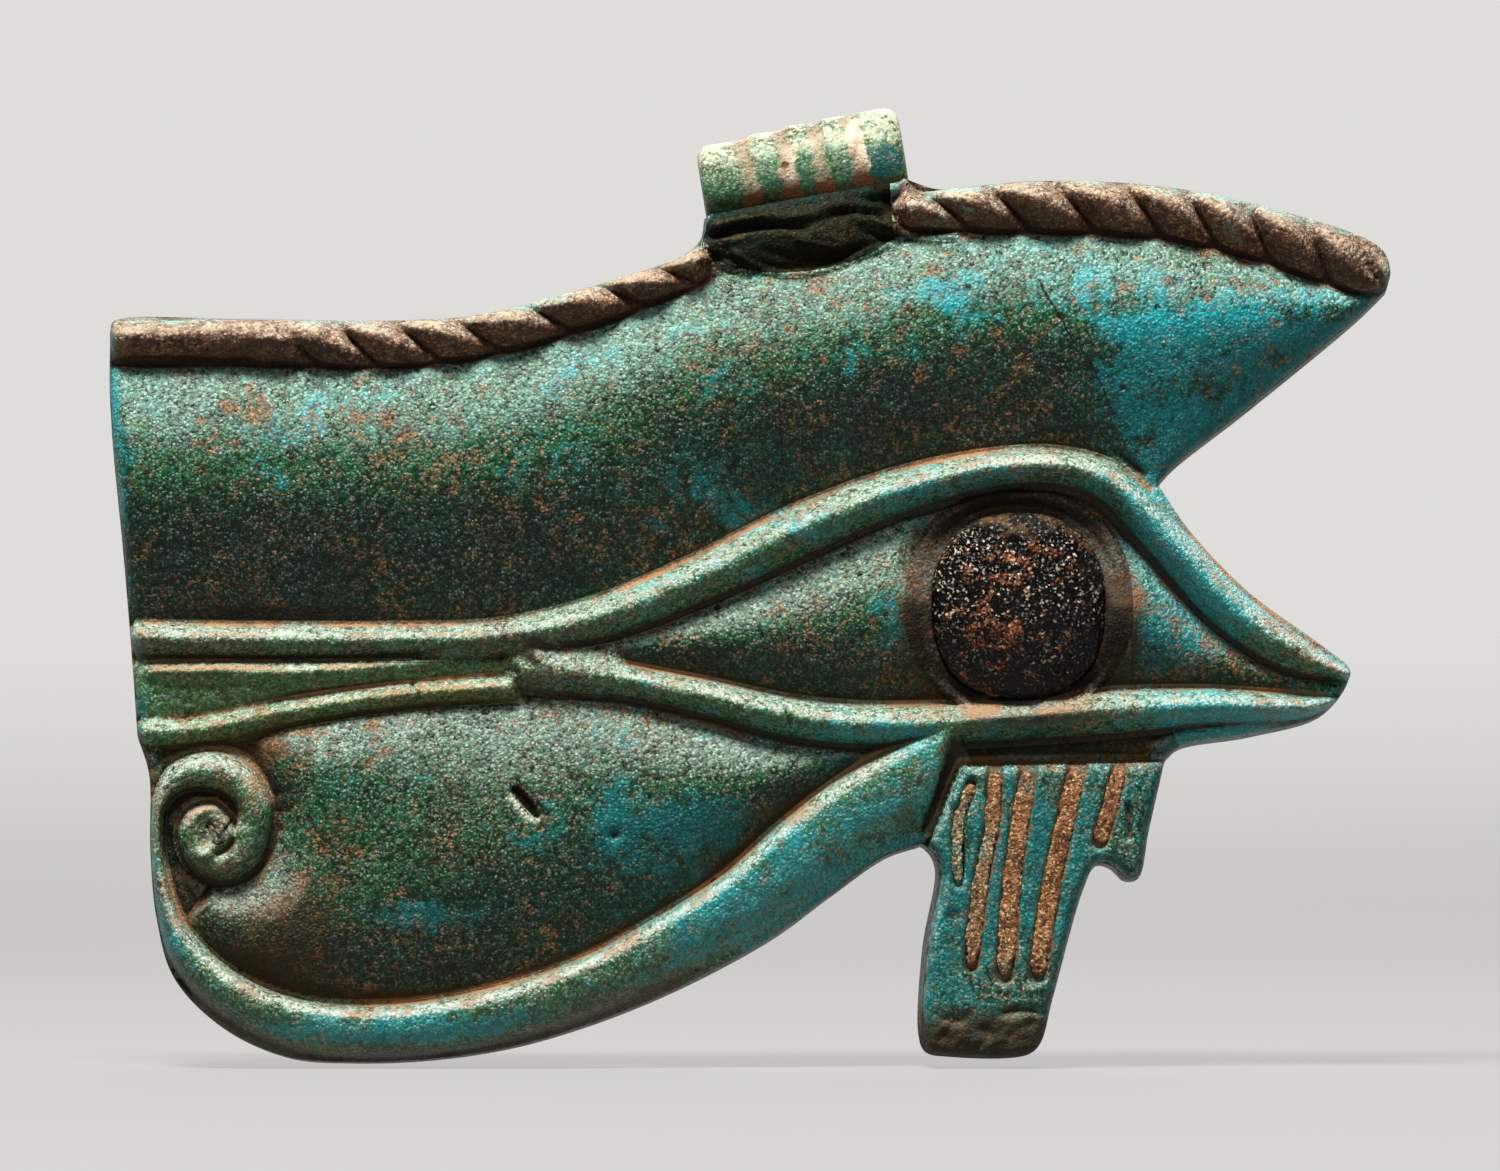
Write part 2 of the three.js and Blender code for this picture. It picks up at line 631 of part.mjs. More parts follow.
add('ribbed_drop', dropGeometry(), 'turquoise');
fluteShares.forEach((shares, at) => {
  const fill = fluteCoil(shares, fluteWidth - 2 * fluteClearance, fillRise);
  add(`drop_fill_${at + 1}`, laidCoil(fill, { floor: fillFloor }), 'fill');
});

export default group;
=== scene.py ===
import math

import bmesh
import bpy
import numpy as np
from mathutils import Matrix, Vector


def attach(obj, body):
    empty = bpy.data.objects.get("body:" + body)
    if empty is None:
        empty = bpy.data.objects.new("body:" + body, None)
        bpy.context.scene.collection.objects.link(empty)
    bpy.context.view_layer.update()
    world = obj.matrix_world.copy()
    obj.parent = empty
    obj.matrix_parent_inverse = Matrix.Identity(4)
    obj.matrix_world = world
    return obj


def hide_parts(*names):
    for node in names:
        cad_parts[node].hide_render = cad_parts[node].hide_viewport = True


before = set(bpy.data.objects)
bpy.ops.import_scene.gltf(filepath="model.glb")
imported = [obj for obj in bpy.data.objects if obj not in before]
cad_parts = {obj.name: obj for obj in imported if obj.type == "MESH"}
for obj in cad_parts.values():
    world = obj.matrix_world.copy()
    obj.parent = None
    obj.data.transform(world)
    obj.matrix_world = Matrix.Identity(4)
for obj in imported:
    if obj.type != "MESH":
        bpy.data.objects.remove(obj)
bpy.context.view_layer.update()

# Wedjat eye amulet of glazed faience. Shapes are worked out in millimetres in the part's frame:
# x to the right, z up, y back; the relief rises from the plate's front towards -y.
millimetre = 0.001
fineness = 1.0  # how much coarser the meshes are while trying things

amulet = {
    "width": 60.0,
    "height": 44.7,
    "boreShare": (0.542, 0.931),
    "front": -1.5,  # the plate's front face
    "back": 2.5,
    "draft": 0.2,  # how far the front's edge lies inside the outline
    "roundOver": 0.5,
    "leftRounder": 0.45,  # added to it at the left end
    "floor": 0.14,  # bare ground of the open grooves
    "ledge": 0.62,  # ground beside the silhouette
    "ledgeReach": 1.1,
    "blend": 0.3,  # fillet between a coil and what it lies on
    "dropBlend": 0.3,  # share of it on the drop
    "lap": 0.16,  # how far a field runs on below its neighbours
    "tuck": 0.16,
    "margin": 0.14,  # the fillet that belongs to a coil's own piece
    "least": 0.02,  # least height of a piece over the plate's front
    "seat": 0.04,  # how far behind the plate's front a piece is closed
}
weld = 1e-5  # corners closer than this are one
pointsAtATime = 4096  # measured against a polyline's stretches together

outlineRuns = {
    "topLeft": [(0.002, 0.762), (0.004, 0.775), (0.012, 0.780), (0.114, 0.779), (0.230, 0.778),
                (0.292, 0.784), (0.354, 0.804), (0.416, 0.829), (0.448, 0.845), (0.462, 0.862),
                (0.465, 0.887)],
    "neckTop": [(0.465, 0.887), (0.625, 0.928)],
    "topRight": [(0.625, 0.928), (0.632, 0.913), (0.648, 0.914), (0.725, 0.923), (0.818, 0.918),
                 (0.911, 0.893), (0.985, 0.859), (0.997, 0.843), (1.000, 0.825), (0.997, 0.805)],
    "browCut": [(0.997, 0.805), (0.974, 0.775), (0.889, 0.681), (0.830, 0.619), (0.820, 0.604)],
    "lidCorner": [(0.820, 0.604), (0.844, 0.557), (0.889, 0.494), (0.952, 0.432), (0.968, 0.413),
                  (0.967, 0.399), (0.956, 0.375), (0.940, 0.358), (0.888, 0.340), (0.834, 0.327),
                  (0.824, 0.315)],
    "drop": [(0.824, 0.315), (0.812, 0.245), (0.803, 0.192), (0.792, 0.190), (0.781, 0.203),
             (0.770, 0.206), (0.761, 0.183), (0.737, 0.069), (0.727, 0.021), (0.717, 0.009),
             (0.656, 0.007), (0.637, 0.012), (0.632, 0.029), (0.635, 0.120), (0.645, 0.201),
             (0.641, 0.217), (0.634, 0.226)],
    "cheek": [(0.634, 0.226), (0.607, 0.214), (0.563, 0.173), (0.516, 0.127), (0.423, 0.063),
              (0.330, 0.020), (0.261, 0.004), (0.191, 0.000), (0.141, 0.006), (0.091, 0.037),
              (0.053, 0.089), (0.039, 0.152), (0.034, 0.224), (0.033, 0.302), (0.024, 0.341)],
    "leftSide": [(0.024, 0.341), (0.019, 0.432), (0.011, 0.557), (0.002, 0.692), (0.002, 0.762)],
}


def placed(shares):
    # shares of the amulet's size, with any columns after them, as millimetres from the bore
    rows = np.array(shares, float)
    rows[:, 0] = (rows[:, 0] - amulet["boreShare"][0]) * amulet["width"]
    rows[:, 1] = (rows[:, 1] - amulet["boreShare"][1]) * amulet["height"]
    return rows


def lengthsAlong(rows):
    return np.concatenate([[0], np.cumsum(np.hypot(*np.diff(rows[:, :2], axis=0).T))])


def resampled(rows, step):
    along = lengthsAlong(rows)
    count = max(int(math.ceil(along[-1] / step)), 2)
    places = np.linspace(0, along[-1], count + 1)
    return np.stack([np.interp(places, along, column) for column in rows.T], axis=1)


def smoothCourse(rows, step):
    # centripetal spline through the rows, whose first two columns are the place, in 32 parts each
    ends = [2 * rows[0] - rows[1], *rows, 2 * rows[-1] - rows[-2]]
    parts = []
    share = np.linspace(0, 1, 33)[:-1, None]
    for p0, p1, p2, p3 in zip(ends, ends[1:], ends[2:], ends[3:]):
        d0, d1, d2 = (max(math.sqrt(math.dist(a[:2], b[:2])), 1e-6)
                      for a, b in ((p0, p1), (p1, p2), (p2, p3)))
        out = ((p1 - p0) / d0 - (p2 - p0) / (d0 + d1) + (p2 - p1) / d1) * d1
        into = ((p2 - p1) / d1 - (p3 - p1) / (d1 + d2) + (p3 - p2) / d2) * d1
        parts.append(p1 + out * share + (-3 * p1 + 3 * p2 - 2 * out - into) * share ** 2
                     + (2 * p1 - 2 * p2 + out + into) * share ** 3)
    return resampled(np.concatenate([*parts, rows[-1:]]), step)


def smoothStep(low, high, value):
    share = np.clip((value - low) / (high - low), 0, 1)
    return share * share * (3 - 2 * share)


def smoothMax(one, other, blend):
    near = np.maximum(blend - np.abs(one - other), 0) / blend
    return np.maximum(one, other) + near * near * blend / 4


def smoothMin(one, other, blend):
    return -smoothMax(-one, -other, blend)


def waves(x, z, size, seed, count=9):
    # smooth unevenness of about unit height, from a few seeded ripples of that size
    draw = np.random.RandomState(seed)
    total = np.zeros(np.shape(x))
    for _ in range(count):
        angle = draw.uniform(0, 2 * math.pi)
        pace = 2 * math.pi / (size * draw.uniform(0.7, 1.6))
        phase = draw.uniform(0, 2 * math.pi)
        total += np.sin((x * math.cos(angle) + z * math.sin(angle)) * pace + phase)
    return total / math.sqrt(count)


def stretchesOf(line):
    # starts and ways of a polyline's stretches
    return *line[:-1, :2].T.astype(np.float32), *np.diff(line[:, :2], axis=0).T.astype(np.float32)


def fromStretches(stretches, x, z):
    # some points at a time: which ones, their places, their ways from each stretch's start, and the
    # share of the stretch that lies before the nearest place on it
    ax, az, sx, sz = stretches
    square = np.maximum(sx * sx + sz * sz, 1e-12)
    for start in range(0, x.size, pointsAtATime):
        some = slice(start, start + pointsAtATime)
        px, pz = (values[some, None].astype(np.float32) for values in (x, z))
        dx, dz = px - ax, pz - az
        yield some, px, pz, dx, dz, np.clip((dx * sx + dz * sz) / square, 0, 1)


def sideOf(line, x, z):
    # distance from a polyline and whether each point is inside it when it is closed
    distance = np.empty(x.shape)
    inside = np.empty(x.shape, bool)
    ax, az, sx, sz = stretches = stretchesOf(line)
    slope = sx / np.where(np.abs(sz) < 1e-9, 1e-9, sz)
    for some, px, pz, dx, dz, share in fromStretches(stretches, x, z):
        dx -= share * sx
        dz -= share * sz
        distance[some] = np.sqrt((dx * dx + dz * dz).min(axis=1))
        crossed = ((az > pz) != (az + sz > pz)) & (px < ax + (pz - az) * slope)
        inside[some] = crossed.sum(axis=1) % 2 == 1
    return distance, inside


def nearOn(course, x, z):
    # for each point: how far beyond the coil's edge, place across (-1 to 1, left is positive),
    # place along and rise at the nearest stretch of the coil
    near = {name: np.empty(x.shape) for name in ("edge", "across", "along", "rise")}
    rows = course["rows"].astype(np.float32)
    half, rise = rows[:-1, 2], rows[:, 3]
    widen, longer = np.diff(rows[:, 2]), np.diff(course["along"])
    _, _, sx, sz = stretches = stretchesOf(rows)
    for some, _, _, dx, dz, share in fromStretches(stretches, x, z):
        side = np.sign(sx * dz - sz * dx)
        dx -= share * sx
        dz -= share * sz
        distance = np.sqrt(dx * dx + dz * dz)
        beyond = distance - (half + share * widen)
        pick = beyond.argmin(axis=1)
        row = np.arange(len(pick))
        part = share[row, pick]
        width = half[pick] + part * widen[pick]
        near["edge"][some] = beyond[row, pick]
        near["across"][some] = side[row, pick] * distance[row, pick] / np.maximum(width, 1e-6)
        near["along"][some] = course["along"][pick] + part * longer[pick]
        near["rise"][some] = rise[pick] + part * (rise[pick + 1] - rise[pick])
    return near


# Coils: shares of the place across and up, of the width and of the rise. before and after are how
# far a coil runs on past its ends to the silhouette, and the section is (crest, power, root)
coils = {}
coils["upperLid"] = {
    "width": 2.3, "rise": 2.0, "before": 1.4, "after": 1.0, "section": (0.08, 1.9, 0.78),
    "shares": [
        (0.019, 0.442, 0.73, 0.65), (0.114, 0.440, 0.73, 0.65), (0.230, 0.440, 0.73, 0.65),
        (0.307, 0.443, 0.76, 0.68), (0.385, 0.463, 0.92, 0.8), (0.462, 0.503, 1.04, 0.9),
        (0.539, 0.552, 1.12, 1), (0.617, 0.594, 0.97, 1), (0.694, 0.618, 0.82, 1),
        (0.741, 0.619, 0.82, 1), (0.779, 0.602, 0.88, 1), (0.826, 0.538, 1, 1),
        (0.873, 0.471, 1, 0.97), (0.919, 0.429, 0.86, 0.9), (0.962, 0.405, 0.3, 0.6),
    ],
}
coils["lowerLid"] = {
    "width": 2.1, "rise": 1.9, "before": 0, "after": 1.0, "section": (0.05, 1.9, 0.78),
    "shares": [
        (0.327, 0.407, 0.8, 0.6), (0.354, 0.407, 0.95, 0.7), (0.400, 0.400, 0.84, 0.8),
        (0.462, 0.383, 0.88, 0.9), (0.539, 0.359, 1, 1), (0.617, 0.352, 1.02, 1),
        (0.694, 0.358, 1.06, 1), (0.772, 0.366, 1.1, 1), (0.849, 0.372, 0.92, 0.97),
        (0.926, 0.372, 0.62, 0.85), (0.953, 0.377, 0.3, 0.6),
    ],
}
coils["lowerTail"] = {
    "width": 1.35, "rise": 1.1, "before": 1.4, "after": 0, "section": (0.0, 1.9, 0.8),
    "shares": [
        (0.025, 0.345, 1, 1), (0.075, 0.348, 1.04, 1), (0.152, 0.369, 1, 1),
        (0.230, 0.384, 0.93, 1), (0.316, 0.393, 0.93, 1),
    ],
}
coils["cheekBand"] = {
    "width": 2.5, "rise": 1.9, "before": 0, "after": 1.6,
    "section": (((0, 0.1), (12, 0.2), (18, 0.25), (26, 0.5), (48, 0.56), (66, 0.6)), 2.6, 0.66),
    "shares": [
        (0.094, 0.255, 0.36, 0.55), (0.084, 0.263, 0.46, 0.62), (0.073, 0.256, 0.54, 0.68),
        (0.070, 0.238, 0.58, 0.72), (0.076, 0.217, 0.6, 0.76), (0.091, 0.207, 0.66, 0.8),
        (0.109, 0.216, 0.7, 0.85), (0.118, 0.245, 0.72, 0.9), (0.116, 0.279, 0.74, 0.9),
        (0.102, 0.300, 0.76, 0.9), (0.083, 0.307, 0.74, 0.9), (0.060, 0.300, 0.6, 0.85),
        (0.045, 0.276, 0.34, 0.8), (0.041, 0.235, 0.32, 0.75), (0.044, 0.188, 0.44, 0.8),
        (0.053, 0.141, 0.64, 0.85), (0.075, 0.100, 0.8, 0.9), (0.110, 0.064, 0.92, 1),
        (0.160, 0.039, 1.04, 1), (0.230, 0.035, 1.06, 1), (0.307, 0.051, 1.1, 1),
        (0.378, 0.081, 1.15, 1), (0.441, 0.124, 1.23, 1), (0.496, 0.166, 1.41, 1),
        (0.543, 0.215, 1.6, 1), (0.588, 0.258, 1.71, 1), (0.640, 0.297, 1.76, 1),
        (0.690, 0.330, 1.76, 1),
    ],
}
coils["ropeLeft"] = {
    "width": 2.5, "rise": 1.8, "before": 1.4, "after": 0.4, "section": (0.1, 2.0, 0.6),
    "grooves": [11.5, 14.3, 17.0, 20.4, 23.9, 26.6], "plain": (6.5, 10.5),
    "shares": [
        (0.003, 0.753, 0.92, 0.9), (0.114, 0.753, 0.92, 0.9), (0.230, 0.752, 0.96, 0.9),
        (0.307, 0.767, 0.96, 1), (0.385, 0.797, 0.92, 1), (0.450, 0.828, 0.8, 0.9),
    ],
}
coils["ropeRight"] = {
    "width": 2.5, "rise": 1.8, "before": 0.4, "after": 1.4, "section": (0.1, 2.0, 0.6),
    "grooves": [1.1, 3.9, 7.0, 10.2, 12.9, 15.6, 18.6], "plain": (-2, -1),
    "shares": [
        (0.634, 0.888, 0.8, 0.9), (0.694, 0.893, 1, 1), (0.756, 0.893, 1.04, 1),
        (0.818, 0.888, 1.04, 1), (0.880, 0.872, 1.08, 1), (0.934, 0.849, 1.08, 1),
        (0.972, 0.828, 0.96, 0.9), (0.990, 0.818, 0.6, 0.7),
    ],
}
coils["saddle"] = {
    "width": 2.6, "rise": 1.1, "before": 0, "after": 0, "section": (0.0, 2.4, 0.55),
    "shares": [
        (0.466, 0.850, 0.2, 0.6), (0.497, 0.851, 0.75, 0.9), (0.539, 0.856, 1, 1),
        (0.581, 0.863, 0.78, 0.9), (0.612, 0.872, 0.3, 0.6),
    ],
}
apron = {"share": 0.65, "rise": 0.25, "from": 1.6, "full": 0.9}  # the saddle thins out beside its crest
rope = {"lean": 1.25, "cut": 0.62, "sharp": 2.0, "root": 0.75, "endPitch": 2.8}
coils["tailLine"] = {
    "width": 1.15, "rise": 0.5, "before": 0, "after": 0, "section": (0.3, 1.6, 1.1),
    "shares": [
        (0.03, 0.408, 0.7, 0.7), (0.06, 0.409, 1, 1), (0.13, 0.409, 1, 1), (0.18, 0.411, 0.9, 1),
        (0.23, 0.416, 0.7, 0.9), (0.27, 0.421, 0.3, 0.6),
    ],
}
pupilShape = {
    "place": (9.972, -20.3), "halfWidth": 4.05, "halfHeight": 4.3, "square": 2.35, "rise": 2.5,
    "edge": 1.15, "rimWidth": 1.05, "rimRise": 1.3, "rimGap": 0.04,
    "rimOpen": 0.35, "rimPoints": 60,  # half the angle that the rim leaves open below
    "spare": 0.12,  # left below the full rise for the dome's unevenness
    "under": 1.0,  # the relief below the pupil is no higher
    "steps": 90, "within": 0.998,  # of its grid, and the share of the outline that it fills
}


def makeCoil(coil, step=0.3):
    rows = placed(coil["shares"])
    rows[:, 2] *= coil["width"] / 2
    rows[:, 3] *= coil["rise"]
    return ranOn(coil, smoothCourse(np.column_stack([rows, np.arange(len(rows))]), step))


def ranOn(coil, rows):
    # straight run on past both ends of a coil's rows
    for end, reach in ((0, coil["before"]), (-1, coil["after"])):
        if reach:
            inner = rows[1] if end == 0 else rows[-2]
            way = (rows[end] - inner)[:2]
            more = rows[end].copy()
            more[:2] += way / np.hypot(*way) * reach
            more[4] += -1 if end == 0 else 1
            rows = np.vstack([more, rows] if end == 0 else [rows, more])
    along = lengthsAlong(rows) - coil["before"]
    return {**coil, "rows": rows, "along": along}


def rimCourse(shape):
    # the rim's middle line: open and narrower below, where its two ends run under the lower lid, and
    # lower above
    turn = np.linspace(-0.5 * math.pi - shape["rimOpen"], -2.5 * math.pi + shape["rimOpen"],
                       shape["rimPoints"])
    reach = shape["rimWidth"] / 2 + shape["rimGap"]
    power = 2 / shape["square"]
    x = np.sign(np.cos(turn)) * np.abs(np.cos(turn)) ** power * (shape["halfWidth"] + reach)
    z = np.sign(np.sin(turn)) * np.abs(np.sin(turn)) ** power * (shape["halfHeight"] + reach)
    narrow = 1 - 0.35 * smoothStep(-0.2, -0.8, z / shape["halfHeight"])
    low = 1 - 0.5 * smoothStep(0.2, 0.85, z / shape["halfHeight"])
    rows = np.column_stack([x + shape["place"][0], z + shape["place"][1],
                            narrow * shape["rimWidth"] / 2, narrow ** 0.5 * low * shape["rimRise"], turn])
    coil = {"before": 0, "after": 0, "section": (0.72, 2.0, 0.4)}
    return ranOn(coil, resampled(rows, 0.3))


def bareCourse(line):
    # a course without width or rise
    return {"rows": np.column_stack([line, np.zeros((len(line), 2))]), "along": lengthsAlong(line)}


def partOf(course, first, last):
    # the stretch of a course between two of its table's points
    keep = (course["rows"][:, 4] >= first) & (course["rows"][:, 4] <= last)
    return {**course, "rows": course["rows"][keep], "along": course["along"][keep]}


courses = {name: makeCoil(coil) for name, coil in coils.items()}
courses["rim"] = rimCourse(pupilShape)
courses["curl"] = partOf(courses["cheekBand"], -2, 12.3)
courses["band"] = partOf(courses["cheekBand"], 12, 99)
wholeOutline = np.concatenate([smoothCourse(placed(run), 0.25)[:-1] for run in outlineRuns.values()])
wholeOutline = np.vstack([wholeOutline, wholeOutline[:1]])
browCut = bareCourse(smoothCourse(placed(outlineRuns["browCut"]), 0.5))
coilNames = ["upperLid", "lowerLid", "lowerTail", "curl", "band", "ropeLeft", "ropeRight", "saddle", "rim"]

# Straight cuts through the relief: the cheek band's end, and the drop's side and top
cuts = {
    "bandEnd": [(0.6502, 0.312), (0.6285, 0.224)],
    "bandTop": [(0.560, 0.3085), (0.655, 0.3085)],
    "dropSide": [(0.6635, 0.312), (0.6375, 0.224)],
    "dropTop": [(0.655, 0.3105), (0.830, 0.3155)],
}
bandCut = {"from": 62, "far": 9, "round": 0.4}  # place along the band, and further than any cut reaches


def pastCut(name, x, z):
    # distance to the right of the way along a cut
    (ax, az), (bx, bz) = placed(cuts[name])[:, :2]
    length = math.hypot(bx - ax, bz - az)
    return ((bz - az) * (x - ax) - (bx - ax) * (z - az)) / length


def dropDepthAt(x, z):
    return np.minimum(-pastCut("dropSide", x, z), pastCut("dropTop", x, z))


def outlineDepth(x, z):
    distance, inside = sideOf(wholeOutline, np.asarray(x, float), np.asarray(z, float))
    return np.where(inside, distance, -distance)


def polygonOf(*stretches):
    line = np.concatenate(stretches)
    return np.vstack([line, line[:1]])


def lineOf(name, first, last):
    line = partOf(courses[name], min(first, last), max(first, last))["rows"][:, :2]
    return line if first < last else line[::-1]


regions = {
    "brow": polygonOf(lineOf("upperLid", -2, 10.4), placed(outlineRuns["browCut"])[::-1][:, :2],
                      lineOf("ropeRight", 9, 0), lineOf("saddle", 4, 0), lineOf("ropeLeft", 5.5, -2)),
    "eye": polygonOf(lineOf("upperLid", 4, 14.5), lineOf("lowerLid", 10.5, 1)),
    "tail": polygonOf(lineOf("upperLid", -2, 4), lineOf("lowerTail", 4, -2)),
    "cheek": polygonOf(lineOf("cheekBand", 3, 10), lineOf("lowerTail", 1, 4), lineOf("lowerLid", 1, 6),
                       lineOf("cheekBand", 28, 12)),
    "drop": polygonOf(placed(outlineRuns["drop"])[:, :2], placed([(0.661, 0.3125), (0.824, 0.3165)])),
}

# Fields: height of the crown and of the edge, how far up the crown lies, and the width from which on
# the crown is full. joins are the blends between the distances from the coils round a field
joins = {"brow": 2.5, "cheekLow": 1.5, "cheekHigh": 2.5, "neighbours": 2.0}
fields = {
    "brow": {"crown": 2.0, "edge": 0.45, "lift": 1.2, "span": 7.0},
    "eye": {"crown": 1.75, "edge": 0.45, "lift": 1.05, "span": 6.0},
    "tail": {"crown": 0.75, "edge": 0.4, "lift": 1.0, "span": 1.5},
    "cheek": {"crown": 1.75, "edge": 0.4, "lift": 1.05, "span": 6.0},
}
flutes = {
    "widths": (0.4, 0.6, 0.74, 0.76, 0.62), "floor": 1.24, "rise": 1.62, "ribRound": 0.2,
    "shares": [
        [(0.672, 0.292), (0.662, 0.252), (0.661, 0.190)],
        [(0.690, 0.302), (0.687, 0.245), (0.680, 0.200), (0.671, 0.105)],
        [(0.715, 0.303), (0.709, 0.250), (0.703, 0.193), (0.697, 0.095)],
        [(0.752, 0.304), (0.744, 0.255), (0.735, 0.200), (0.722, 0.095)],
        [(0.785, 0.306), (0.778, 0.268), (0.770, 0.232)],
    ],
}
fluteNames = [f"flute{number}" for number in range(1, 6)]
for name, width, shares in zip(fluteNames, flutes["widths"], flutes["shares"]):
    rows = [(across, up, 1, 1) for across, up in shares]
    courses[name] = makeCoil({"width": width, "rise": 1, "before": 0 if name == "flute1" else 0.8,
                              "after": 0, "shares": rows})
pixel = {"size": 60.0 / 1292, "bore": (803, 169)}  # millimetres of a photo pixel, and the bore's place

# Lines and dents, by photo pixel: half width and height in millimetres, below 0 carved
marks = [
    # the tube's lower lip and the almond under it
    ([(706, 229), (732, 223), (766, 218), (801, 215), (835, 208), (858, 206), (884, 209)], 0.34, 0.5),
    ([(709, 238), (745, 231), (778, 229), (812, 230)], 0.24, -0.3),
    ([(714, 243), (743, 236), (778, 232), (805, 233), (830, 238), (850, 244)], 0.2, 0.2),
    ([(846, 217), (869, 219), (888, 226), (904, 233), (938, 238), (961, 234)], 0.24, 0.28),
    ([(731, 251), (750, 265), (778, 273), (801, 273), (824, 269), (858, 256), (881, 247), (904, 238)],
     0.26, 0.3),
    ([(792, 240), (812, 244), (830, 247), (848, 247)], 0.22, 0.3),
    ([(760, 250), (790, 257), (830, 258), (865, 247)], 0.3, -0.18),
    ([(858, 230), (880, 238), (900, 244)], 0.2, -0.2),
    # left rope: the incised line, dents in its plain end, its last strand
    ([(112, 359), (150, 357), (200, 359), (252, 360)], 0.17, -0.3),
    ([(125, 345), (160, 347), (205, 345)], 0.2, -0.12),
    ([(255, 338), (290, 341), (318, 343)], 0.3, 0.2),
    ([(718, 262), (736, 267), (755, 273)], 0.26, 0.3),
    # tail
    ([(146, 674), (220, 672), (300, 673), (360, 669), (430, 661), (500, 655)], 0.5, 0.16),
    ([(150, 668), (190, 671), (235, 669)], 0.3, 0.12),
    ([(262, 671), (300, 675), (330, 670)], 0.3, 0.1),
    ([(150, 659), (250, 659), (350, 658), (430, 652), (505, 646)], 0.2, -0.16),
    ([(526, 646), (538, 655), (548, 668)], 0.42, 0.3),
    ([(505, 668), (518, 672), (520, 690)], 0.2, -0.25),
    ([(412, 680), (414, 690), (418, 700)], 0.12, -0.3),
    # drop
    ([(950, 802), (954, 820), (962, 850), (960, 880)], 0.3, -0.3),
    ([(1125, 800), (1128, 822), (1127, 842)], 0.26, -0.3),
    ([(1134, 778), (1138, 800), (1139, 825)], 0.2, 0.16),
    ([(996, 1012), (1020, 1008), (1048, 1010)], 0.3, -0.2),
    ([(930, 1012), (952, 1018), (975, 1014)], 0.4, -0.15),
    # curl: its middle, the wall's tool marks and the valley beside it
    ([(208, 824), (217, 830)], 0.24, -0.4),
    ([(194, 862), (218, 847), (246, 825)], 0.4, 0.3),
    ([(190, 838), (196, 818), (212, 808), (228, 812)], 0.3, 0.16),
    ([(272, 795), (292, 790)], 0.14, -0.12),
    ([(273, 812), (294, 809)], 0.14, -0.14),
    ([(273, 828), (292, 829)], 0.14, -0.12),
    # lids and band
    ([(785, 708), (788, 716), (790, 726)], 0.13, -0.3),
    ([(779, 404), (782, 430), (785, 470)], 0.1, -0.06),
    ([(1112, 448), (1130, 462), (1148, 478)], 0.3, -0.2),
    ([(742, 890), (760, 900)], 0.4, -0.12),
    # the lines beside the pupil
    ([(908, 590), (914, 628), (924, 668), (935, 698)], 0.15, 0.17),
    ([(1129, 618), (1130, 655), (1124, 690)], 0.15, 0.17),
]
pits = [  # photo pixel, radius and depth
    (615, 835, 0.26, 0.3), (590, 797, 0.17, 0.2), (651, 797, 0.15, 0.2), (716, 920, 0.12, 0.2),
    (700, 943, 0.25, -0.14), (865, 845, 0.2, 0.16), (1018, 272, 0.24, 0.2), (1054, 292, 0.12, 0.16),
    (1113, 275, 0.12, 0.16), (420, 900, 0.2, 0.12), (390, 1000, 0.16, 0.1), (1172, 288, 0.4, 0.14),
    (330, 338, 0.34, 0.26), (352, 344, 0.25, 0.2), (1146, 205, 0.2, 0.14), (1076, 208, 0.13, 0.18),
    (1031, 206, 0.12, 0.18), (953, 915, 0.3, 0.18), (985, 1030, 0.35, 0.2), (945, 1035, 0.3, 0.16),
    (1030, 1022, 0.3, 0.14), (965, 1048, 0.3, 0.12), (1010, 1046, 0.35, -0.12), (235, 1018, 0.3, 0.12),
    (176, 865, 0.26, 0.14), (185, 885, 0.24, -0.12), (300, 800, 0.2, 0.1), (430, 740, 0.3, 0.08)
]
cheekSlit = {"from": (515, 788), "to": (539, 817), "halfWidth": 0.2, "depth": 0.9}


def atPixel(px, py):
    return (px - pixel["bore"][0]) * pixel["size"], (pixel["bore"][1] - py) * pixel["size"]


def spotAt(px, py, wide, high, x, z):
    # 1 at a photo pixel, fading out over those reaches in millimetres
    cx, cz = atPixel(px, py)
    return np.exp(-((x - cx) / wide) ** 2 - ((z - cz) / high) ** 2)


def marked(x, z):
    # all lines and dents together
    total = np.zeros(x.shape)
    for path, half, height in marks:
        line = np.array([atPixel(*point) for point in path])
        line = smoothCourse(line, 0.15) if len(line) > 2 else line
        low, high = line.min(axis=0) - half, line.max(axis=0) + half
        near = np.flatnonzero((x > low[0]) & (x < high[0]) & (z > low[1]) & (z < high[1]))
        if len(near):
            course = bareCourse(line)
            found = nearOn(course, x[near], z[near])
            fromEnd = np.minimum(found["along"], course["along"][-1] - found["along"])
            taper = np.sqrt(np.clip(fromEnd / (1.8 * half), 0, 1))
            total[near] += height * taper * np.clip(1 - (found["edge"] / half) ** 2, 0, 1) ** 1.5
    for px, py, radius, depth in pits:
        wide = radius / math.sqrt(1.4)
        total -= depth * spotAt(px, py, wide, wide, x, z)
    return total


def slitAt(x, z):
    # 1 inside the slit that gapes in the cheek
    start, end = np.array(atPixel(*cheekSlit["from"])), np.array(atPixel(*cheekSlit["to"]))
    length = np.hypot(*(end - start))
    way = (end - start) / length
    run = ((x - start[0]) * way[0] + (z - start[1]) * way[1]) / length
    aside = np.abs((x - start[0]) * way[1] - (z - start[1]) * way[0])
    half = cheekSlit["halfWidth"] * np.sqrt(np.clip(4 * run * (1 - run), 0, 1))
    return smoothStep(0.1, -0.05, aside - half) * (half > 0)


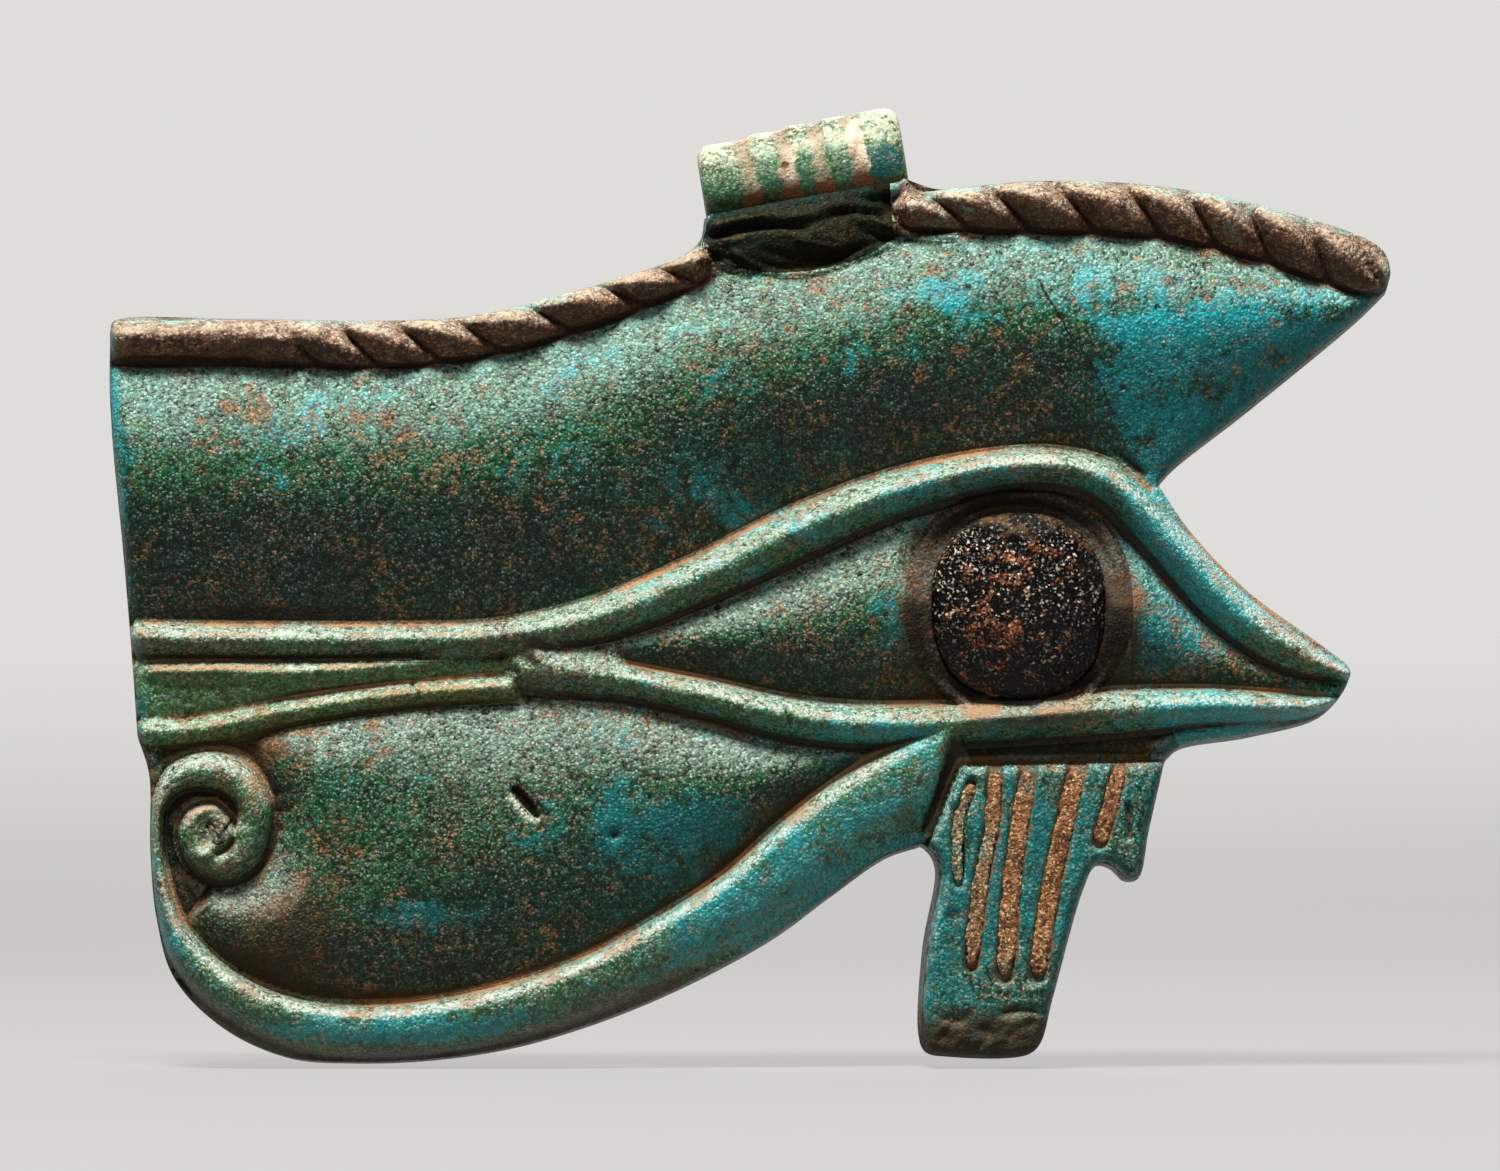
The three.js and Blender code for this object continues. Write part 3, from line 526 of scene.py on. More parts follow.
def sectionOf(near, section):
    crest, power, root = section
    if isinstance(crest, tuple):  # the crest wanders along the coil: (along, crest) pairs
        crest = np.interp(near["along"], *zip(*crest))
    across = near["across"]
    away = np.where(across > crest, (across - crest) / (1 - crest), (crest - across) / (1 + crest))
    return np.clip(1 - np.clip(away, 0, 1) ** power, 0, 1) ** root


def ropeLobes(coil, near):
    # 0 in the lay's grooves and 1 on the strands between them
    grooves = np.array(coil["grooves"])
    place = near["along"] + rope["lean"] * np.clip(near["across"], -1.2, 1.2)
    knots = np.concatenate([grooves[:1] - rope["endPitch"] * np.arange(6, 0, -1), grooves,
                            grooves[-1:] + rope["endPitch"] * np.arange(1, 7)])
    phase = np.interp(place, knots, np.arange(len(knots))) % 1
    lobe = (1 - np.abs(2 * phase - 1) ** rope["sharp"]) ** rope["root"]
    grown = smoothStep(*coil["plain"], near["along"])
    return 1 - (1 - lobe) * grown


def pupilReach(x, z):
    # 1 on the pupil's edge
    shape = pupilShape
    dx = np.abs(x - shape["place"][0]) / shape["halfWidth"]
    dz = np.abs(z - shape["place"][1]) / shape["halfHeight"]
    return (dx ** shape["square"] + dz ** shape["square"]) ** (1 / shape["square"])


# Where the relief is uneven, how much, and the size, seed and number of the ripples
unevenness = [
    ("everywhere", 0.035, (5.5, 11)), ("everywhere", 0.02, (1.9, 12)),
    ("everywhere", 0.009, (0.7, 13, 16)), ("ropes", 0.03, (0.9, 14, 16)),
    ("tail", 0.04, (0.55, 15, 16)), ("foot", 0.06, (0.55, 15, 16)),
]
dropFoot = {"place": (985, 1060), "reach": (5, 2)}
tailRidge = 0.55  # how much of its own rise the tail's middle line keeps on the field
curlCore = {"place": (214, 834), "radius": 1.5, "level": 1.2}
knot = {"from": (528, 664), "to": (604, 672), "radius": 1.2, "level": 1.1}


def knotAt(x, z):
    # the lump where the tail's coils and the lower lid meet
    away = sideOf(np.array([atPixel(*knot["from"]), atPixel(*knot["to"])]), x, z)[0] / knot["radius"]
    return knot["level"] * np.sqrt(np.clip(1 - away ** 2.4, 0, 1))


def crowned(name, low, high):
    # height of a field by the distances from what borders it below and above
    field = fields[name]
    low, high = np.maximum(low, 0), np.maximum(high, 0)
    span = low + high + 1e-6
    share = np.clip(low / span, 0, 1) ** field["lift"]
    full = np.clip(span / field["span"], 0, 1) ** 0.8
    return field["edge"] + (field["crown"] - field["edge"]) * full * np.sin(math.pi * share) ** 0.85


def groundAt(x, z, depth):
    # the open ground: grooves, the ledge along the silhouette and the middle of the curl
    ledge = smoothStep(amulet["ledgeReach"], amulet["ledgeReach"] - 0.4, depth)
    ground = amulet["floor"] + (amulet["ledge"] - amulet["floor"]) * ledge
    coreX, coreZ = atPixel(*curlCore["place"])
    core = smoothStep(curlCore["radius"], curlCore["radius"] * 0.5, np.hypot(x - coreX, z - coreZ))
    return np.maximum(ground, curlCore["level"] * core)


def reliefAt(x, z, detail=True):
    # height of the finished front above the plate's front, with what the pieces need to know
    x, z = np.asarray(x, float), np.asarray(z, float)
    near = {name: nearOn(course, x, z) for name, course in courses.items() if name != "cheekBand"}
    edge = {name: found["edge"] for name, found in near.items()}
    depth = outlineDepth(x, z)
    isIn = {name: sideOf(line, x, z)[1] for name, line in regions.items()}
    height = groundAt(x, z, depth)

    # fields
    low = smoothMin(edge["upperLid"], nearOn(browCut, x, z)["edge"], joins["brow"])
    high = smoothMin(edge["ropeLeft"], edge["ropeRight"], joins["neighbours"])
    high = smoothMin(high, edge["saddle"], joins["neighbours"])
    height = np.where(isIn["brow"], crowned("brow", low, high), height)
    height = np.where(isIn["tail"], crowned("tail", edge["lowerTail"], edge["upperLid"]), height)
    ridge = near["tailLine"]["rise"] * sectionOf(near["tailLine"], coils["tailLine"]["section"])
    height = np.where(isIn["tail"], height + tailRidge * ridge, height)
    reach = pupilReach(x, z)
    overPupil = (z - pupilShape["place"][1]) / pupilShape["halfHeight"]
    sunk = smoothStep(1.5, 1.15, reach) * smoothStep(-0.1, 0.8, overPupil)
    eye = crowned("eye", edge["lowerLid"], edge["upperLid"]) * (1 - 0.5 * sunk)
    height = np.where(isIn["eye"], eye, height)
    low = smoothMin(edge["band"], edge["curl"] + 1, joins["cheekLow"])
    high = smoothMin(edge["lowerTail"], edge["lowerLid"], joins["neighbours"])
    high = smoothMin(high, edge["curl"], joins["cheekHigh"])
    height = np.where(isIn["cheek"], crowned("cheek", low, high), height)

    # drop with its ribs
    rib = np.clip(np.minimum.reduce([edge[name] for name in fluteNames]) / flutes["ribRound"], 0, 1)
    ribbed = flutes["floor"] + (flutes["rise"] - flutes["floor"]) * np.sqrt(1 - (1 - rib) ** 2)
    dropDepth = dropDepthAt(x, z)
    ribbed -= roundDrop(dropDepth, amulet["roundOver"])
    height = np.where(isIn["drop"] & (dropDepth > 0), np.maximum(ribbed, height), height)

    # coils
    bandDepth = np.minimum(pastCut("bandEnd", x, z), bandCut["far"])
    topDepth = np.minimum(bandDepth, pastCut("bandTop", x, z))
    bandDepth = np.where(near["band"]["along"] > bandCut["from"], topDepth, bandDepth)
    for name in coilNames:
        coil = courses[name]
        rise = near[name]["rise"] * sectionOf(near[name], coil["section"])
        if "grooves" in coil:
            rise = rise * (1 - rope["cut"] * (1 - ropeLobes(coil, near[name])))
        if name == "band":
            rise = np.where(bandDepth > 0, rise - roundDrop(bandDepth, bandCut["round"]), 0)
        if name == "saddle":
            spread = smoothStep(apron["from"], apron["full"], np.abs(near[name]["across"]))
            rise = rise * apron["share"] + apron["rise"] * spread
        tight = isIn["drop"] & (name != "lowerLid")
        blend = amulet["blend"] * np.where(tight, amulet["dropBlend"], 1)
        height = smoothMax(height, rise, blend)
    height = smoothMax(height, knotAt(x, z), amulet["blend"] * 2)
    height = np.where(reach < 1, np.minimum(height, pupilShape["under"]), height)

    # the listed lines and unevenness, the slit in the cheek and the round-over at the silhouette
    height += marked(x, z) - cheekSlit["depth"] * slitAt(x, z)
    if detail:
        ropes = np.minimum(edge["ropeLeft"], edge["ropeRight"]) < 0
        foot = spotAt(*dropFoot["place"], *dropFoot["reach"], x, z)
        strength = {"everywhere": 1, "ropes": ropes, "tail": isIn["tail"], "foot": foot}
        for where, rise, ripples in unevenness:
            height += strength[where] * rise * waves(x, z, *ripples)
    radius = amulet["roundOver"] + amulet["leftRounder"] * smoothStep(-27.5, -29.5, x)
    height -= roundDrop(depth - amulet["draft"], radius) * np.clip(height / 0.9, 0.5, 1.6)
    return {"height": np.maximum(height, amulet["least"]), "edge": edge, "depth": depth, "isIn": isIn}


def roundDrop(depth, radius):
    # how much a quarter round takes off at a distance inside an edge
    inside = np.clip(depth / radius, 0, 1)
    return radius * (1 - np.sqrt(np.clip(1 - (1 - inside) ** 2, 0, 1)))


print("courses ready")

# Relief sampled once on an even raster, for where dirt lies, where the glaze is worn, and which slopes face
# up, which drives painted light and shade
raster = {
    "step": 0.125, "x0": -33.5, "z0": -42.5, "columns": 496, "rows": 376, "beyond": 0.35,
    "near": 2, "wide": 7,  # reach of the blurs that fine and broad relief stand out from, in steps
}


def boxBlur(values, reach):
    # mean over a square, by running totals down the columns and then, turned over, along the rows
    size = 2 * reach + 1
    for _ in range(2):
        total = np.cumsum(np.pad(values, [(reach + 1, reach), (0, 0)], mode="edge"), axis=0)
        values = ((total[size:] - total[:-size]) / size).T
    return values


def makeRaster():
    x = raster["x0"] + raster["step"] * np.arange(raster["columns"])
    z = raster["z0"] + raster["step"] * np.arange(raster["rows"])
    gridX, gridZ = np.meshgrid(x, z)
    found = reliefAt(gridX.ravel(), gridZ.ravel(), detail=False)
    height = np.where(found["depth"] > amulet["draft"], found["height"], raster["beyond"])
    height = np.maximum(height.reshape(gridX.shape), pupilHeight(gridX, gridZ))
    once, wide = (boxBlur(height, raster[reach]) for reach in ("near", "wide"))
    raster["fine"] = height - boxBlur(once, raster["near"])
    raster["broad"] = height - boxBlur(wide, raster["wide"])
    raster["sunny"] = -np.gradient(once, raster["step"], axis=0)


def pupilHeight(x, z):
    reach = pupilReach(x, z)
    dome = (1 - np.clip(reach, 0, 1) ** 2.2) ** 0.6
    top = pupilShape["rise"] - pupilShape["spare"]
    return np.where(reach < 1, pupilShape["edge"] + (top - pupilShape["edge"]) * dome, 0)


def fromRaster(name, x, z):
    column = np.clip((x - raster["x0"]) / raster["step"], 0, raster["columns"] - 1.001)
    row = np.clip((z - raster["z0"]) / raster["step"], 0, raster["rows"] - 1.001)
    i, j = column.astype(int), row.astype(int)
    u, v = column - i, row - j
    values = raster[name]
    return ((values[j, i] * (1 - u) + values[j, i + 1] * u) * (1 - v)
            + (values[j + 1, i] * (1 - u) + values[j + 1, i + 1] * u) * v)


makeRaster()
print("raster ready")


# Limits: where a piece's outline runs is zero, and it is positive inside
def frontLimit(x, z):
    return outlineDepth(x, z) - amulet["draft"]


def bandLimit(x, z):
    cut = np.minimum(pastCut("bandEnd", x, z), pastCut("bandTop", x, z))
    along = nearOn(courses["band"], x, z)["along"]
    return np.minimum(frontLimit(x, z), np.where(along > bandCut["from"], cut, bandCut["far"]))


def dropLimit(x, z):
    return np.minimum(frontLimit(x, z), dropDepthAt(x, z))


def coordinates(bm):
    return np.array([vertex.co for vertex in bm.verts], float).reshape(-1, 3)


def moveAll(bm, points):
    for vertex, point in zip(bm.verts, points):
        vertex.co = point


def makeObject(name, bm, material):
    # turns millimetres into metres
    moveAll(bm, coordinates(bm) * millimetre)
    mesh = bpy.data.meshes.new(name)
    bm.to_mesh(mesh)
    bm.free()
    mesh.polygons.foreach_set("use_smooth", [True] * len(mesh.polygons))
    mesh.materials.append(material)
    made = bpy.data.objects.new(name, mesh)
    bpy.context.scene.collection.objects.link(made)
    return made


def finishPiece(name, bm, node, slotName, finish, zones=None):
    bmesh.ops.recalc_face_normals(bm, faces=bm.faces[:])
    points = coordinates(bm)
    piece = makeObject(name, bm, finishes[finish])
    paintZones(piece.data, zones(points) if zones else plainZones(points))
    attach(piece, "root")
    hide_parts(node)
    print(name, "vertices", len(piece.data.vertices), "faces", len(piece.data.polygons))


def plainZones(points):
    # for the material: teal or olive (0.5 is neither), dirt with painted shade in the slit, wear with
    # painted highlights, and how far a slope faces up, which drives painted light and shade
    x, y, z = points.T
    fine, broad, sunny = (fromRaster(name, x, z) for name in ("fine", "broad", "sunny"))
    depth = outlineDepth(x, z)
    dirt = smoothStep(0.02, 0.22, -fine) * 0.75 + smoothStep(0.1, 0.6, -broad) * 0.65  # in hollows
    # the slit is painted dark inside: painted shade
    dirt = np.maximum(dirt, slitAt(x, z) * 1.5)
    wearAndHighlight = smoothStep(0.05, 0.26, fine) * 0.5 + smoothStep(0.3, 0.9, broad) * 0.3  # on crests
    # pale where slopes face up: a painted highlight
    wearAndHighlight += smoothStep(0.15, 0.7, sunny) * smoothStep(-0.02, 0.12, fine) * 0.6  # where they face up
    # pale along the silhouette: worn edges and a painted rim light
    wearAndHighlight += smoothStep(0.5, 0.24, depth) * 0.25  # along the silhouette
    wearAndHighlight *= 1 - np.clip(blobs(glazedSpots, x, z), 0, 1)
    tone = 0.5 + blobs(tealSpots, x, z) * 0.5 - blobs(oliveSpots, x, z) * 0.5
    # the cheek's lower edge is olive and grimy, and dirt lies round the pupil
    below = smoothStep(1.3, 0.4, depth) * smoothStep(-35.5, -38.0, z) * smoothStep(4.0, 1.0, x)
    tone += 0.3 * smoothStep(0.9, 0.3, depth) - 1.1 * below
    dirt += 0.35 * below + 0.45 * smoothStep(1.66, 1.2, pupilReach(x, z))
    front = smoothStep(amulet["front"] + 0.6, amulet["front"] - 0.1, y)
    dirt = dirt * front + blobs(brownSpots, x, z) * 0.8
    return tone, dirt, wearAndHighlight * front, smoothStep(-0.25, 0.6, sunny) * front


def paintZones(mesh, zones):
    attribute = mesh.attributes.new("zones", "FLOAT_COLOR", "POINT")
    attribute.data.foreach_set("color", np.clip(np.column_stack(zones), 0, 1).astype(np.float32).ravel())


def blobs(spots, x, z):
    total = np.zeros(len(x))
    for px, py, wide, high, strength in spots:
        total += strength * spotAt(px, py, wide * pixel["size"], high * pixel["size"], x, z)
    return total


# Where the glaze is more teal, more olive, or stained brown: photo pixel, reach across and up, strength
tealSpots = [
    (1240, 350, 130, 60, 1.2), (1180, 440, 60, 50, 1.0), (1060, 290, 110, 40, 0.5),
    (1200, 395, 100, 45, 0.9), (118, 480, 18, 110, 0.5), (650, 470, 110, 50, 0.5),
    (350, 410, 60, 26, 0.3), (900, 300, 60, 40, 0.3), (1180, 560, 90, 80, 0.9), (1230, 712, 110, 26, 1.0),
    (960, 490, 110, 30, 0.6), (790, 520, 60, 26, 0.5), (1190, 640, 50, 40, 0.7), (660, 820, 90, 36, 0.7),
    (430, 915, 50, 18, 1.1), (800, 890, 160, 80, 1.2), (480, 1035, 240, 26, 1.2), (180, 950, 30, 60, 1.0),
    (1030, 870, 90, 100, 0.9), (880, 640, 40, 40, 0.5), (900, 735, 110, 20, 0.6), (500, 780, 60, 30, 0.3),
    (880, 180, 24, 26, 0.9)
]
oliveSpots = [
    (300, 560, 190, 50, 0.9), (560, 540, 120, 40, 0.5), (250, 930, 80, 50, 0.9), (300, 650, 220, 26, 0.6),
    (700, 660, 50, 20, 0.3), (560, 660, 60, 36, 0.7), (420, 700, 120, 18, 0.6), (760, 860, 120, 26, 0.5),
    (850, 420, 160, 36, 0.5), (1040, 420, 90, 40, 0.6), (200, 820, 50, 60, 0.5), (640, 770, 90, 24, 0.3),
    (620, 620, 60, 24, 0.4), (1010, 700, 90, 20, 0.5), (360, 850, 80, 30, 0.3)
]
glazedSpots = [  # edges that keep their glaze
    (942, 810, 26, 50, 0.9), (1050, 765, 110, 22, 0.8), (955, 850, 20, 60, 0.8), (925, 780, 40, 20, 0.5),
]
brownSpots = [
    (985, 1050, 95, 36, 1.9), (537, 650, 10, 14, 1.8), (280, 616, 140, 8, 0.8), (430, 700, 12, 8, 0.3),
    (470, 995, 90, 10, 0.35), (560, 965, 60, 14, 0.4), (730, 860, 50, 16, 0.5), (800, 810, 40, 14, 0.5),
    (250, 965, 30, 26, 0.5), (1010, 712, 80, 9, 0.55), (1120, 610, 26, 50, 0.7), (912, 600, 14, 60, 0.6),
    (1150, 560, 30, 30, 0.4), (330, 990, 90, 12, 0.35), (640, 925, 90, 18, 0.4), (205, 890, 24, 30, 0.7),
    (280, 745, 30, 12, 0.5), (300, 608, 170, 7, 0.5), (760, 820, 60, 24, 0.3), (1165, 285, 14, 8, 0.5),
    (160, 362, 80, 7, 0.5), (905, 810, 8, 60, 0.5), (500, 722, 170, 9, 0.3), (300, 925, 66, 50, 0.5),
    (296, 905, 56, 46, 0.25), (330, 692, 150, 9, 0.35), (262, 800, 14, 44, 0.5), (220, 848, 28, 14, 0.5),
    (230, 758, 44, 10, 0.3), (172, 890, 14, 30, 0.5), (300, 966, 60, 26, 0.4), (230, 672, 80, 8, 0.5),
    (250, 640, 150, 7, 0.3), (262, 750, 40, 20, 0.5)
]


# Trimming: rounds of evening and drawing the rim to the limit, the farthest that one draw goes and the
# least squared slope it trusts, then how many rows beside the rim are smoothed and how often
trim = {"rounds": 3, "draws": 3, "farthest": 0.3, "flattest": 0.25, "beside": 3, "smoothings": 6}


def trimmedGrid(box, spacing, limit):
    # even grid over a box in millimetres, trimmed and drawn to where limit(x, z) is zero
    low, high = np.array(box[0], float), np.array(box[1], float)
    spacing *= fineness
    count = np.maximum(np.ceil((high - low) / spacing).astype(int), 4)
    bm = bmesh.new()
    bmesh.ops.create_grid(bm, x_segments=int(count[0]), y_segments=int(count[1]), size=1)
    flat = (coordinates(bm)[:, :2] + 1) / 2 * (high - low) + low
    within = limit(flat[:, 0], flat[:, 1]) > 0
    bm.verts.index_update()
    doomed = [face for face in bm.faces if sum(within[v.index] for v in face.verts) < 2]
    moveAll(bm, np.insert(flat, 1, 0, axis=1))
    bmesh.ops.delete(bm, geom=doomed, context="FACES")
    keepLargest(bm)
    for turn in range(trim["rounds"]):
        rim = [vertex for vertex in bm.verts if vertex.is_boundary]
        if turn:
            evenRim(rim)
        for _ in range(trim["draws"]):
            drawTo(rim, limit)
    rim = {vertex for vertex in bm.verts if vertex.is_boundary}
    beside = set(rim)
    for _ in range(trim["beside"]):
        beside |= {edge.other_vert(vertex) for vertex in beside for edge in vertex.link_edges}
    inner = list(beside - rim)
    for _ in range(trim["smoothings"]):
        bmesh.ops.smooth_vert(bm, verts=inner, factor=0.5, use_axis_x=True, use_axis_z=True)
    return bm


def keepLargest(bm):
    # drops crumbs that the trimming left beside the main island
    seen, islands = set(), []
    for face in bm.faces:
        if face in seen:
            continue
        island, queue = [], [face]
        seen.add(face)
        while queue:
            current = queue.pop()
            island.append(current)
            for edge in current.edges:
                for other in edge.link_faces:
                    if other not in seen:
                        seen.add(other)
                        queue.append(other)
        islands.append(island)
    islands.sort(key=len)
    crumbs = [face for island in islands[:-1] for face in island]
    if crumbs:
        bmesh.ops.delete(bm, geom=crumbs, context="FACES")
    while True:  # no vertex may join two corners of the rim
        pinched = [v for v in bm.verts if sum(e.is_boundary for e in v.link_edges) > 2]
        if not pinched:
            break
        bmesh.ops.delete(bm, geom=list({f for v in pinched for f in v.link_faces}), context="FACES")


def slopesOf(limit, x, z, step=0.02):
    return ((limit(x + step, z) - limit(x - step, z)) / (2 * step),
            (limit(x, z + step) - limit(x, z - step)) / (2 * step))


def drawTo(rim, limit):
    # one step of the rim's vertices towards the limit's zero line
    x, z = np.array([(vertex.co.x, vertex.co.z) for vertex in rim]).T
    slopeX, slopeZ = slopesOf(limit, x, z)
    square = np.maximum(slopeX ** 2 + slopeZ ** 2, trim["flattest"])
    reach = np.clip(limit(x, z) / square, -trim["farthest"], trim["farthest"])
    for vertex, dx, dz in zip(rim, reach * slopeX, reach * slopeZ):
        vertex.co.x -= dx
        vertex.co.z -= dz


def evenRim(rim):
    # each vertex half way to the middle of its neighbours
    moved = []
    for vertex in rim:
        others = [edge.other_vert(vertex).co for edge in vertex.link_edges if edge.is_boundary]
        moved.append((vertex.co + (others[0] + others[1]) / 2) / 2)
    for vertex, place in zip(rim, moved):
        vertex.co = place


def rimEdges(bm):
    return [edge for edge in bm.edges if edge.is_boundary]


def weldStrip(bm):
    bmesh.ops.remove_doubles(bm, verts=bm.verts[:], dist=weld)
    bmesh.ops.holes_fill(bm, edges=rimEdges(bm), sides=0)


def closeBehind(bm):
    # walls from the rim back to the seat, and the flat that closes them
    made = bmesh.ops.extrude_edge_only(bm, edges=rimEdges(bm))["geom"]
    for vertex in (item for item in made if isinstance(item, bmesh.types.BMVert)):
        vertex.co.y = amulet["front"] + amulet["seat"]
    bmesh.ops.holes_fill(bm, edges=rimEdges(bm), sides=0)


def gridPiece(across, up):
    # an even grid whose corners are numbered by two shares, 0 to 1
    bm = bmesh.new()
    bmesh.ops.create_grid(bm, x_segments=across, y_segments=up, size=1)
    return bm, *((coordinates(bm)[:, :2] + 1) / 2).T


def rolledGrid(lengths, columns):
    # a grid whose last three columns run back below the others: the share along, the column that each
    # corner belongs to, and which corners lie below
    bm, u, v = gridPiece(lengths, columns + 3)
    j = np.rint(v * (columns + 3)).astype(int)
    below = (j == columns + 1) | (j == columns + 2)
    return bm, u, np.where(j == columns + 1, columns, np.where(j >= columns + 2, 0, j)), below


def fieldPiece(name, box, spacing, borders=(), region=None, limit=None, **rest):
    # a field: inside its region or limit, and tucked below the coils that border it
    bm = trimmedGrid(box, spacing, limit or fieldLimit(borders, region))
    points = coordinates(bm)
    found = reliefAt(points[:, 0], points[:, 2])
    height = found["height"]
    if borders:
        over = amulet["margin"] - np.minimum.reduce([found["edge"][other] for other in borders])
        height = height - amulet["tuck"] * smoothStep(0, amulet["lap"], over)
    points[:, 1] = amulet["front"] - np.maximum(height, amulet["least"])
    moveAll(bm, points)
    closeBehind(bm)
    finishPiece(name, bm, **rest)


strips = {
    "step": 0.1,  # between the stations that are measured along a coil
    "tries": 24,  # places tried across, outwards, for the silhouette
    "leastReach": 0.05,
    "trimmed": 60,  # stations at each end that may be cut off by the silhouette
    "outside": -0.03,
    "turn": 0.92,  # share of a half circle that spaces the columns
    "tuck": 0.24, "tuckFrom": 0.12, "tuckOver": 0.25,  # how the sides sink below their neighbours
}


def stripPiece(name, columns, step, course=None, limit=frontLimit, reachOut=0.9, cover=(0, 0), **rest):
    # a coil's piece: a grid laid along the course, rolled round its section and closed below
    coil = courses[course or name]
    coil = ranOn({**coil, "before": cover[0], "after": cover[1]}, coil["rows"]) if any(cover) else coil
    rows = resampled(coil["rows"], strips["step"])
    place, half = rows[:, :2], rows[:, 2]
    way = np.gradient(place, axis=0)
    way = boxSmooth(way / np.hypot(*way.T)[:, None], 3)
    way /= np.hypot(*way.T)[:, None]
    aside = np.column_stack([-way[:, 1], way[:, 0]])
    reaches = {}
    for side in (1, -1):  # how far the piece spreads over that side, to the silhouette at most
        tries = np.linspace(0.02, 1, strips["tries"])
        farthest = half + reachOut
        spots = place[:, None] + aside[:, None] * side * (farthest[:, None] * tries)[..., None]
        value = limit(spots[..., 0].ravel(), spots[..., 1].ravel()).reshape(spots.shape[:2])
        crossed = value < 0
        first = np.where(crossed.any(axis=1), crossed.argmax(axis=1), len(tries))
        inner = np.clip(first - 1, 0, len(tries) - 1)
        outer = np.clip(first, 0, len(tries) - 1)
        pick = np.arange(len(rows))
        a, b = value[pick, inner], value[pick, outer]
        share = np.where(first > 0, np.clip(a / np.maximum(a - b, 1e-6), 0, 1), 0)
        found = farthest * (tries[inner] + (tries[outer] - tries[inner]) * share)
        full = half + amulet["margin"]
        reach = np.maximum(np.where(first < len(tries), found, full), strips["leastReach"])
        reaches[side] = np.minimum(boxSmooth(reach[:, None], 2)[:, 0], np.maximum(reach, full))
    turn = np.linspace(-1, 1, columns + 1) * math.pi / 2 * strips["turn"]
    across = np.sin(turn) / math.sin(turn[-1])  # closer towards the sides
    stations = np.arange(len(rows), dtype=float)
    lengths = int(lengthsAlong(rows)[-1] / (step * fineness))
    strip = np.zeros((lengths + 1, columns + 1, 2))
    stationAt = np.zeros((lengths + 1, columns + 1))
    for column, share in enumerate(across):
        reach = reaches[1] if share >= 0 else reaches[-1]
        line = place + aside * (share * reach)[:, None]
        value = limit(line[:, 0], line[:, 1])
        end = min(len(rows) // 2, strips["trimmed"])
        outBefore = np.flatnonzero(value[:end] < strips["outside"])
        outAfter = np.flatnonzero(value[-end:] < strips["outside"]) + len(rows) - end
        first = crossing(value, outBefore[-1], outBefore[-1] + 1) if len(outBefore) else 0
        last = crossing(value, outAfter[0], outAfter[0] - 1) if len(outAfter) else len(rows) - 1
        at = np.linspace(first, last, lengths + 1)
        strip[:, column, 0] = np.interp(at, stations, line[:, 0])
        strip[:, column, 1] = np.interp(at, stations, line[:, 1])
        stationAt[:, column] = at
    found = reliefAt(strip[..., 0].ravel(), strip[..., 1].ravel())
    left, right, ownHalf = (np.interp(stationAt, stations, values)
                            for values in (reaches[1], reaches[-1], half))
    own = (np.abs(across) * np.where(across >= 0, left, right) - ownHalf).ravel()
    rival = np.minimum.reduce([found["edge"][other] for other in coilNames])
    over = smoothStep(0, strips["tuckOver"], own - rival - strips["tuckFrom"])
    height = found["height"] - strips["tuck"] * over
    level = amulet["front"] - np.maximum(height, amulet["least"]).reshape(strip.shape[:2])
    bm, u, column, below = rolledGrid(lengths, columns)
    i = np.rint(u * lengths).astype(int)
    y = np.where(below, amulet["front"] + amulet["seat"], level[i, column])
    moveAll(bm, np.column_stack([strip[i, column, 0], y, strip[i, column, 1]]))
    weldStrip(bm)
    finishPiece(name, bm, **rest)


def boxSmooth(values, reach):
    padded = np.pad(values, [(reach, reach), (0, 0)], mode="edge")
    return sum(padded[k:k + len(values)] for k in range(2 * reach + 1)) / (2 * reach + 1)


def crossing(value, outside, inside):
    share = value[outside] / (value[outside] - value[inside])
    return outside + (inside - outside) * share


def fieldLimit(names, region):
    # inside a region, clear of the coils that border it, and beside the pupil
    def limit(x, z):
        value = frontLimit(x, z)
        for name in names:
            clear = nearOn(courses[name], x, z)["edge"] - amulet["margin"]
            value = np.minimum(value, clear + amulet["lap"])
        value = np.where(sideOf(regions[region], x, z)[1] | (value < 0.3), value, -1)
        return np.minimum(value, (pupilReach(x, z) - 1) * 4) if region == "eye" else value
    return limit


# Glazes. Colours are written as they look on a screen, 0 to 255
def shade(red, green, blue):
    return [(v / 255 / 12.92 if v < 11 else ((v / 255 + 0.055) / 1.055) ** 2.4)
            for v in (red, green, blue)] + [1.0]


class Wire:
    # a shader socket that can be added, multiplied and so on
    def __init__(self, recipe, socket):
        self.recipe, self.socket = recipe, socket

    def __add__(self, other):
        return self.recipe.sum("ADD", self, other)

    def __sub__(self, other):
        return self.recipe.sum("SUBTRACT", self, other)

    def __rsub__(self, other):
        return self.recipe.sum("SUBTRACT", other, self)

    def __mul__(self, other):
        return self.recipe.sum("MULTIPLY", self, other)

    __radd__ = __add__
    __rmul__ = __mul__

    def between(self, low, high):
        # 0 up to low, 1 from high, smooth between
        return self.recipe.add("ShaderNodeMapRange", {"interpolation_type": "SMOOTHSTEP"},
                               {"Value": self, "From Min": low, "From Max": high})


class Nodes:
    # one node tree
    def __init__(self, tree):
        self.tree = tree

    def add(self, kind, settings=None, inputs=None, output=0):
        node = self.tree.nodes.new(kind)
        for key, value in (settings or {}).items():
            setattr(node, key, value)
        self.feed(node, inputs or {})
        return Wire(self, node.outputs[output])

    def feed(self, node, inputs):
        for key, value in inputs.items():
            if isinstance(value, Wire):
                self.tree.links.new(value.socket, node.inputs[key])
            else:
                node.inputs[key].default_value = value

    def sum(self, operation, *values):
        return self.add("ShaderNodeMath", {"operation": operation}, dict(enumerate(values)))


